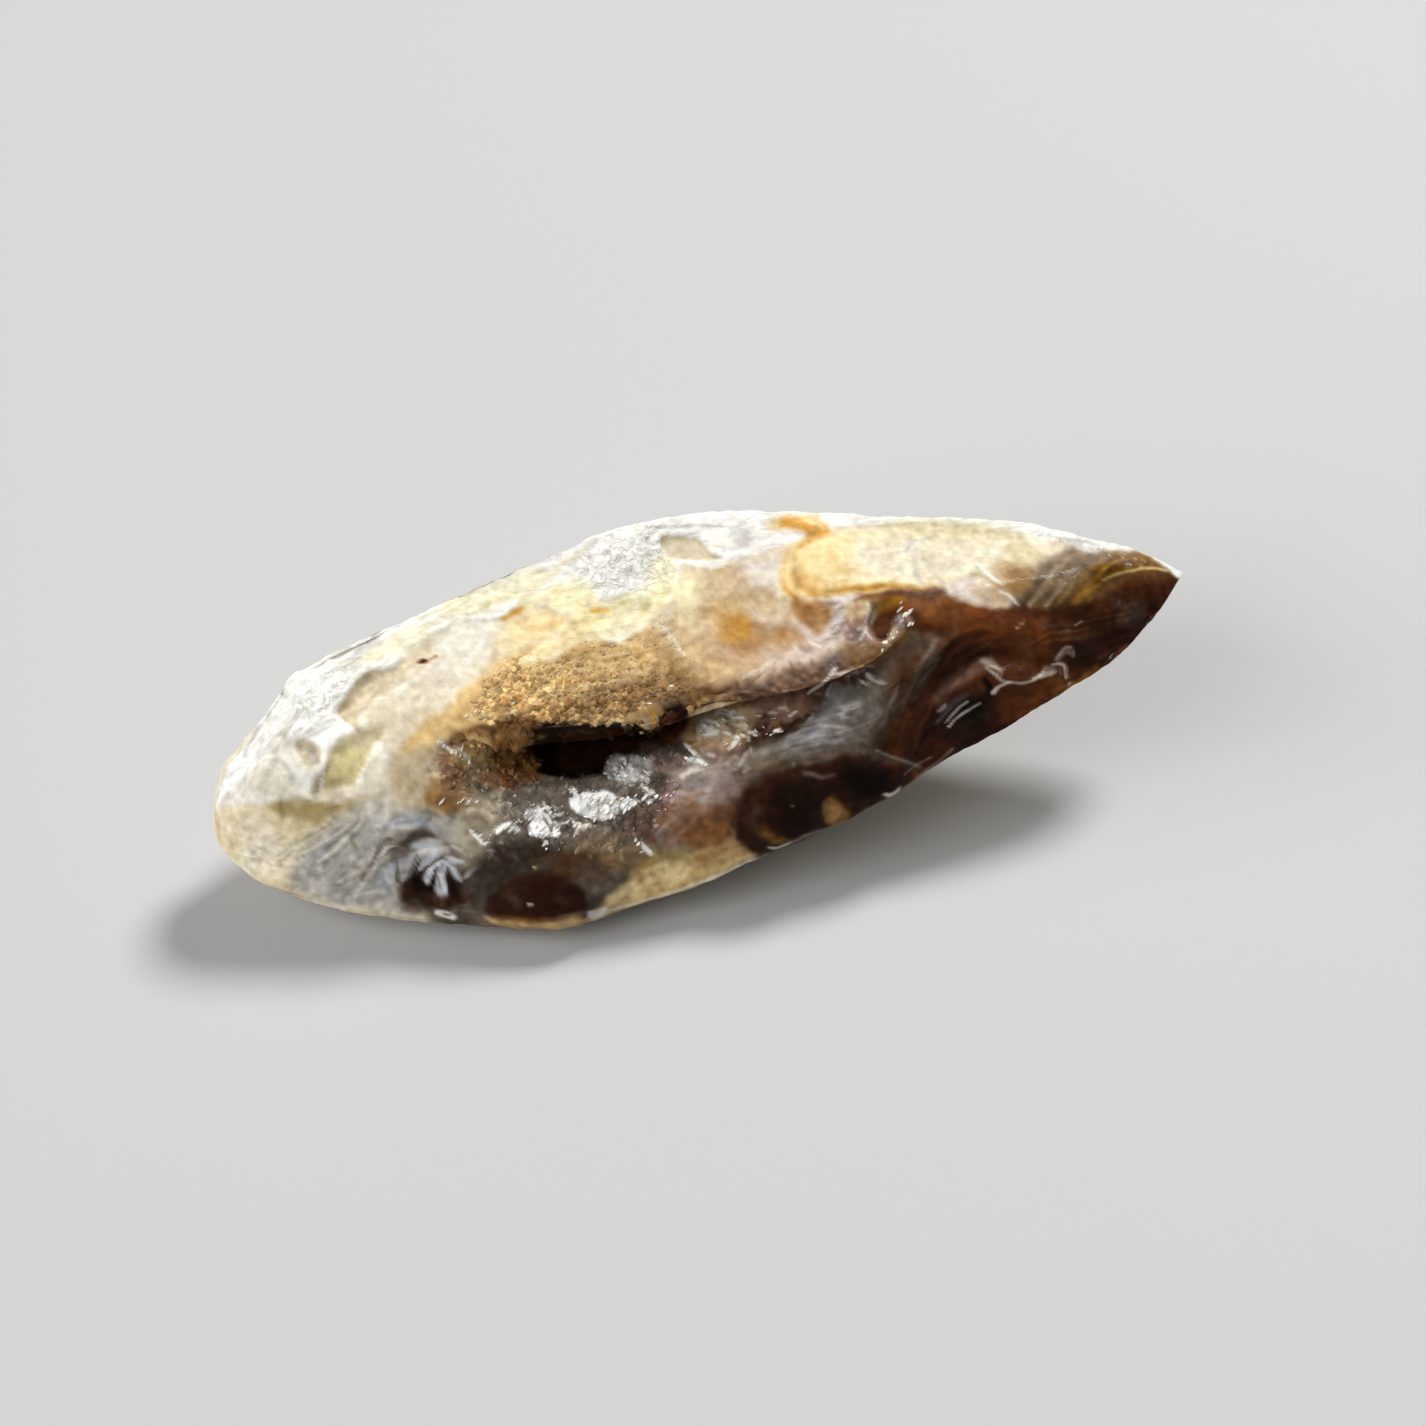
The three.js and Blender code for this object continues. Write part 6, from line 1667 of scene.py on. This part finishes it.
def spread_spots(points, weights, count, gap, seed):
    """Picks places over a grid of points, no nearer than a gap: their row, column and position."""
    draw = np.random.RandomState(seed)
    corner = points[:-1, :-1]
    area = np.linalg.norm(np.cross(points[1:, :-1] - corner, points[:-1, 1:] - corner), axis=-1)
    chance = (area * weights[:-1, :-1]).ravel()
    picks = draw.choice(chance.size, count * 6, p=chance / chance.sum())
    rows, columns = np.unravel_index(picks, area.shape)
    u, v = draw.rand(2, len(picks), 1)
    spots = (points[rows, columns] * (1 - u) * (1 - v) + points[rows + 1, columns] * u * (1 - v)
             + points[rows, columns + 1] * (1 - u) * v + points[rows + 1, columns + 1] * u * v)
    kept = np.empty((0, 3))
    chosen = []
    for number, spot in enumerate(spots):
        if len(chosen) >= count:
            break
        if not chosen or ((kept - spot) ** 2).sum(1).min() > gap**2:
            kept = np.vstack([kept, spot])
            chosen.append(number)
    return rows[chosen], columns[chosen], kept


def turned_crystals(axes, facing):
    """Euler turns that stand crystals along their axes, a pointed face turned to a direction."""
    face = unit(facing - (facing * axes).sum(-1, keepdims=True) * axes)
    across = face * np.cos(np.pi / 6) - np.cross(axes, face) * np.sin(np.pi / 6)
    third = np.cross(axes, across)
    return np.stack([
        np.arctan2(third[:, 2], axes[:, 2]), -np.arcsin(np.clip(across[:, 2], -1, 1)),
        np.arctan2(across[:, 1], across[:, 0]),
    ], -1)


def glinting_axes(normals):
    """Axes for crystals with a pointed face towards the glint, as near upright as they can be."""
    upright = normals - (normals @ GLINT_FACING)[:, None] * GLINT_FACING
    upright /= np.maximum(np.linalg.norm(upright, axis=-1, keepdims=True), 1e-6)
    return np.cos(POINT_LEAN) * GLINT_FACING + np.sin(POINT_LEAN) * upright


def crystal_tree():
    """Node tree that stands a six-sided crystal, pointed at both ends, on each point of a mesh."""
    tree = bpy.data.node_groups.new("grown crystals", "GeometryNodeTree")
    given, made = open_sockets(
        tree, INPUT=[("Geometry", "Geometry"), ("Shoulder", "Float"), ("Half length", "Float"),
                     ("Material", "Material")], OUTPUT=[("Geometry", "Geometry")])
    ball = add(tree, "GeometryNodeMeshUVSphere", {"Segments": 6, "Rings": 3, "Radius": 1.0})
    position = add(tree, "GeometryNodeInputPosition").outputs[0]
    spot = add(tree, "ShaderNodeSeparateXYZ", {0: position}).outputs
    tall = add(tree, "ShaderNodeMapRange", {
        "Value": maths(tree, "ABSOLUTE", spot["Z"]), "From Min": 0.5, "From Max": 1.0,
        "To Min": given["Shoulder"], "To Max": given["Half length"]}).outputs["Result"]
    z = maths(tree, "MULTIPLY", tall, maths(tree, "SIGN", spot["Z"]))
    shaped = add(tree, "ShaderNodeCombineXYZ", {"X": spot["X"], "Y": spot["Y"], "Z": z})
    crystal = add(tree, "GeometryNodeSetPosition", {
        "Geometry": ball.outputs["Mesh"], "Position": shaped.outputs[0]})
    turn, size = (
        add(tree, "GeometryNodeInputNamedAttribute", {"Name": name}, data_type="FLOAT_VECTOR")
        .outputs["Attribute"] for name in ("turn", "size"))
    stood = add(tree, "GeometryNodeInstanceOnPoints", {
        "Points": given["Geometry"], "Instance": crystal.outputs[0], "Scale": size,
        "Rotation": add(tree, "FunctionNodeEulerToRotation", {0: turn}).outputs[0]})
    real = add(tree, "GeometryNodeRealizeInstances", {"Geometry": stood.outputs[0]})
    flat = add(tree, "GeometryNodeSetShadeSmooth", {
        "Geometry": real.outputs[0], "Shade Smooth": False})
    done = add(tree, "GeometryNodeSetMaterial", {
        "Geometry": flat.outputs[0], "Material": given["Material"]})
    feed(tree, made, {"Geometry": done.outputs[0]})
    return tree


def grow(name, spots, turns, sizes, tints, material):
    """Crystals on given spots, as one plain mesh; sizes are widths and length in millimetres."""
    seeds = bpy.data.meshes.new(name)
    seeds.from_pydata(((spots + MAKER_SHIFT) * MM).tolist(), [], [])
    for attribute, values in (("turn", turns), ("size", sizes * MM)):
        stored = seeds.attributes.new(attribute, "FLOAT_VECTOR", "POINT")
        stored.data.foreach_set("vector", values.astype(np.float32).ravel())
    store(seeds, "tint", tints)
    piece = placed(name, seeds)
    modifier = piece.modifiers.new("crystals", "NODES")
    modifier.node_group = crystal_tree()
    values = {"Shoulder": SHOULDER, "Half length": HALF_LENGTH, "Material": material}
    for socket in modifier.node_group.interface.items_tree:
        if socket.in_out == "INPUT" and socket.name in values:
            modifier[socket.identifier] = values[socket.name]
    evaluated = piece.evaluated_get(bpy.context.evaluated_depsgraph_get())
    grown = bpy.data.meshes.new_from_object(evaluated)
    piece.modifiers.clear()
    piece.data = grown
    return piece


def quartz_material(name, rough, shine, clear, group):
    """Quartz: glassy, a little clear, coloured by its own tint."""
    material, tree, shader = new_material(name)
    grainy = grained(tree, group, 3000, 0.7)
    feed(tree, shader, {
        "Base Color": grainy["Tint"], "Normal": raised(tree, grainy["Height"], 0.3, 0.00003),
        "Roughness": rough, "Transmission Weight": clear, "Specular IOR Level": shine,
        "IOR": QUARTZ_IOR})
    return material


def charted_faces(surfaces, seed):
    """The charted bright faces on whichever surface (points, directions out) is nearest the eye:
    its number, the places, the directions out there and the half widths in millimetres."""
    draw = np.random.RandomState(seed)
    points, normals = (
        np.concatenate([part[k].reshape(-1, 3) for part in surfaces]) for k in (0, 1))
    numbers = np.repeat(range(len(surfaces)), [part[0].size // 3 for part in surfaces])
    seen = (normals @ TO_EYE > 0.05) & (points[:, 1] < 4)
    points, normals, numbers = points[seen], normals[seen], numbers[seen]
    spots, depth = chart(points), points @ TO_EYE
    found, widths = [], []
    for half_width, places in FLECKS:
        for place in places:
            for size in (draw.uniform(0.8, 1.2), draw.uniform(0.3, 0.7)):
                shift = draw.normal(0, half_width * (1 - size) * 1.6, 2) if size < 0.8 else 0
                near = np.flatnonzero(np.hypot(*(spots - np.array(place) - shift).T) < 3)
                if len(near):
                    found.append(near[np.argmax(depth[near])])
                    widths.append(half_width * size / CHART_SCALE)
    return numbers[found], points[found], normals[found], np.array(widths)


smoky_quartz = quartz_material("smoky quartz", 0.28, 0.5, 0.05, grain_group)
sheet, crust_top, crust_out, crust_share = crust_sheet()
crust_tint = painted(chart(sheet), sheet)
crust_mesh = closed_tube(
    "quartz_crust", in_frame(sheet, stone_low, stone_high),
    *(in_frame(sheet[end].mean(0), stone_low, stone_high) for end in (0, -1)))
store(crust_mesh, "tint", with_ends(crust_tint, FINISHES["umber"], FINISHES["umber"]))
cave = cover(chart(sheet), CAVE, 8)
store(crust_mesh, "dull", with_ends(0.1 + 0.9 * cave, 1, 1))
in_two_finishes(crust_mesh, crust_tint)
crust = placed("quartz_crust", crust_mesh)

face = ways < 3
stone_out = outward(stations, ways)
lit, lit_spots, lit_normals, lit_widths = charted_faces(
    [(crust_top, crust_out), (points[:, face], stone_out[:, face])], 100)


def with_lit_faces(number, spots, normals, tints, sizes, seed):
    """Crystals that lean every way out of a surface, with those of its charted bright faces."""
    draw = np.random.RandomState(seed)
    here = lit == number
    leaning = unit(normals + draw.normal(0, 0.45, normals.shape))
    turns = turned_crystals(leaning, draw.normal(0, 1, normals.shape))
    bright_turns = turned_crystals(glinting_axes(lit_normals[here]), GLINT_FACING)
    stretch = draw.uniform((0.9, 0.35, 0.5), (1.8, 0.8, 1.1), (here.sum(), 3))
    bright_sizes = lit_widths[here, None] * stretch
    bright_spots = lit_spots[here] - lit_normals[here] * lit_widths[here, None]
    # Crystals turned to the glint are given a pale tint as well: their real glint plus a painted highlight.
    pale_glint_tints = np.array(FINISHES["bone"]) * draw.uniform(0.85, 1.1, (here.sum(), 1))
    return (np.concatenate([spots, bright_spots]), np.concatenate([turns, bright_turns]),
            np.concatenate([sizes, bright_sizes]), np.concatenate([tints, pale_glint_tints]))


rows, columns, spots = spread_spots(crust_top, crust_share, 1000, 0.24, 101)
draw = np.random.RandomState(102)
widths = draw.uniform(0.12, 0.3, len(spots))
normals = crust_out[rows, columns]
tints = painted(chart(spots), spots) * draw.uniform(0.9, 1.25, (len(spots), 1))
sizes = np.stack([widths, widths, widths * draw.uniform(0.6, 0.9, len(spots))], -1)
points_piece = grow("quartz_points", *with_lit_faces(
    0, spots - normals * widths[:, None], normals, tints, sizes, 103), smoky_quartz)
for piece in (crust, points_piece):
    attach(piece, "root")
    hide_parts("quartz_druse")

# Sugary quartz on the slope above the hollow: a skin of tiny blunt crystals, tan and half clear,
# that grew close together on the broken face, coarser low down towards the slit.
sugar_quartz = quartz_material("sugary quartz", 0.5, 0.2, 0.05, grain_group)
on_slope = np.where((ways < 1)[None, :], cover(place, SUGARED[0], 6) * (1 - rind), 0) ** 2
on_slope = on_slope * smooth(60, 90, tint.max(-1))
slope_x, slope_y = place[..., 0], place[..., 1]
tilted = slope_y + 0.25 * (600 - slope_x).clip(0, 200) - 0.3 * (slope_x - 640).clip(0, 60)
low_down = smooth(650, 705, tilted)
rows, columns, spots = spread_spots(points, on_slope * (0.25 + 0.75 * low_down), 2600, 0.14, 111)
draw = np.random.RandomState(112)
normals = stone_out[rows, columns]
coarse = low_down[rows, columns]
widths = draw.uniform(0.07, 0.14, len(spots)) + coarse * draw.uniform(0.02, 0.2, len(spots))
sunk = (widths * (1.0 - 0.2 * coarse))[:, None]
shades = 1 + draw.uniform(-0.2, 0.2, len(spots)) * (0.4 + 0.6 * coarse)
tints = painted(chart(spots), spots) * shades[:, None]
sizes = np.stack([widths, widths, widths * draw.uniform(0.6, 0.8, len(spots))], -1)
sugar = grow("sugar_grains", *with_lit_faces(
    1, spots - normals * sunk, normals, tints, sizes, 113), sugar_quartz)
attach(sugar, "root")

# The floor, the light and the camera: a plain pale sheet, soft light from a window with two weak
# lamps to open the shadows, and the chart's own eye.
floor_mesh = bpy.data.meshes.new("floor")
floor_mesh.from_pydata([(-1, -1, 0), (1, -1, 0), (1, 1, 0), (-1, 1, 0)], [], [(0, 1, 2, 3)])
floor_material, floor_tree, floor_shader = new_material("pale floor")
feed(floor_tree, floor_shader, {"Base Color": (0.5, 0.5, 0.5, 1), "Roughness": 0.8})
floor_mesh.materials.append(floor_material)
floor = placed("floor", floor_mesh)
floor.visible_glossy = False
floor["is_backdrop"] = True


def soft_light(name, direction, distance, size, power, mirrored):
    """A round lamp that looks back at the stone, seen in its gloss or not."""
    light = bpy.data.lights.new(name, "AREA")
    light.shape = "DISK"
    light.size = size
    light.energy = power
    lamp = placed(name, light)
    towards = Vector(direction).normalized()
    lamp.location = towards * distance
    lamp.rotation_euler = towards.to_track_quat("Z", "Y").to_euler()
    lamp.visible_glossy = mirrored


soft_light("window", (0.479, 0.331, 0.812), 0.6, 0.18, 3.4, True)
soft_light("fill", (-0.85, -0.5, 0.75), 0.7, 0.5, 2.6, False)
soft_light("side", (-1.0, 0.05, 0.5), 0.6, 0.4, 1.5, False)
world = bpy.data.worlds.new("studio")
world.use_nodes = True
background = world.node_tree.nodes["Background"]
feed(world.node_tree, background, {"Color": (1, 1, 1, 1), "Strength": 0.13})
bpy.context.scene.world = world

camera_data = bpy.data.cameras.new("camera")
camera_data.sensor_width = 36
# The camera sees the whole chart, twice as wide as its centre is far in, from the chart's distance.
camera_data.lens = camera_data.sensor_width * (CHART_SCALE * CHART_DISTANCE) / (2 * CHART_CENTRE)
camera_data.clip_start = 0.01
camera = placed("camera", camera_data)
aim = (CHART_ORIGIN + MAKER_SHIFT) * MM
turn = Matrix((TO_RIGHT, TO_TOP, TO_EYE)).transposed().to_4x4()
camera.matrix_world = Matrix.Translation(Vector(aim + TO_EYE * CHART_DISTANCE * MM)) @ turn
bpy.context.scene.camera = camera
bpy.context.scene.view_settings.view_transform = "Standard"

sizes = {"cad": [list(corner) for corner in cad_box], "visual": [list(corner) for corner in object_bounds()]}
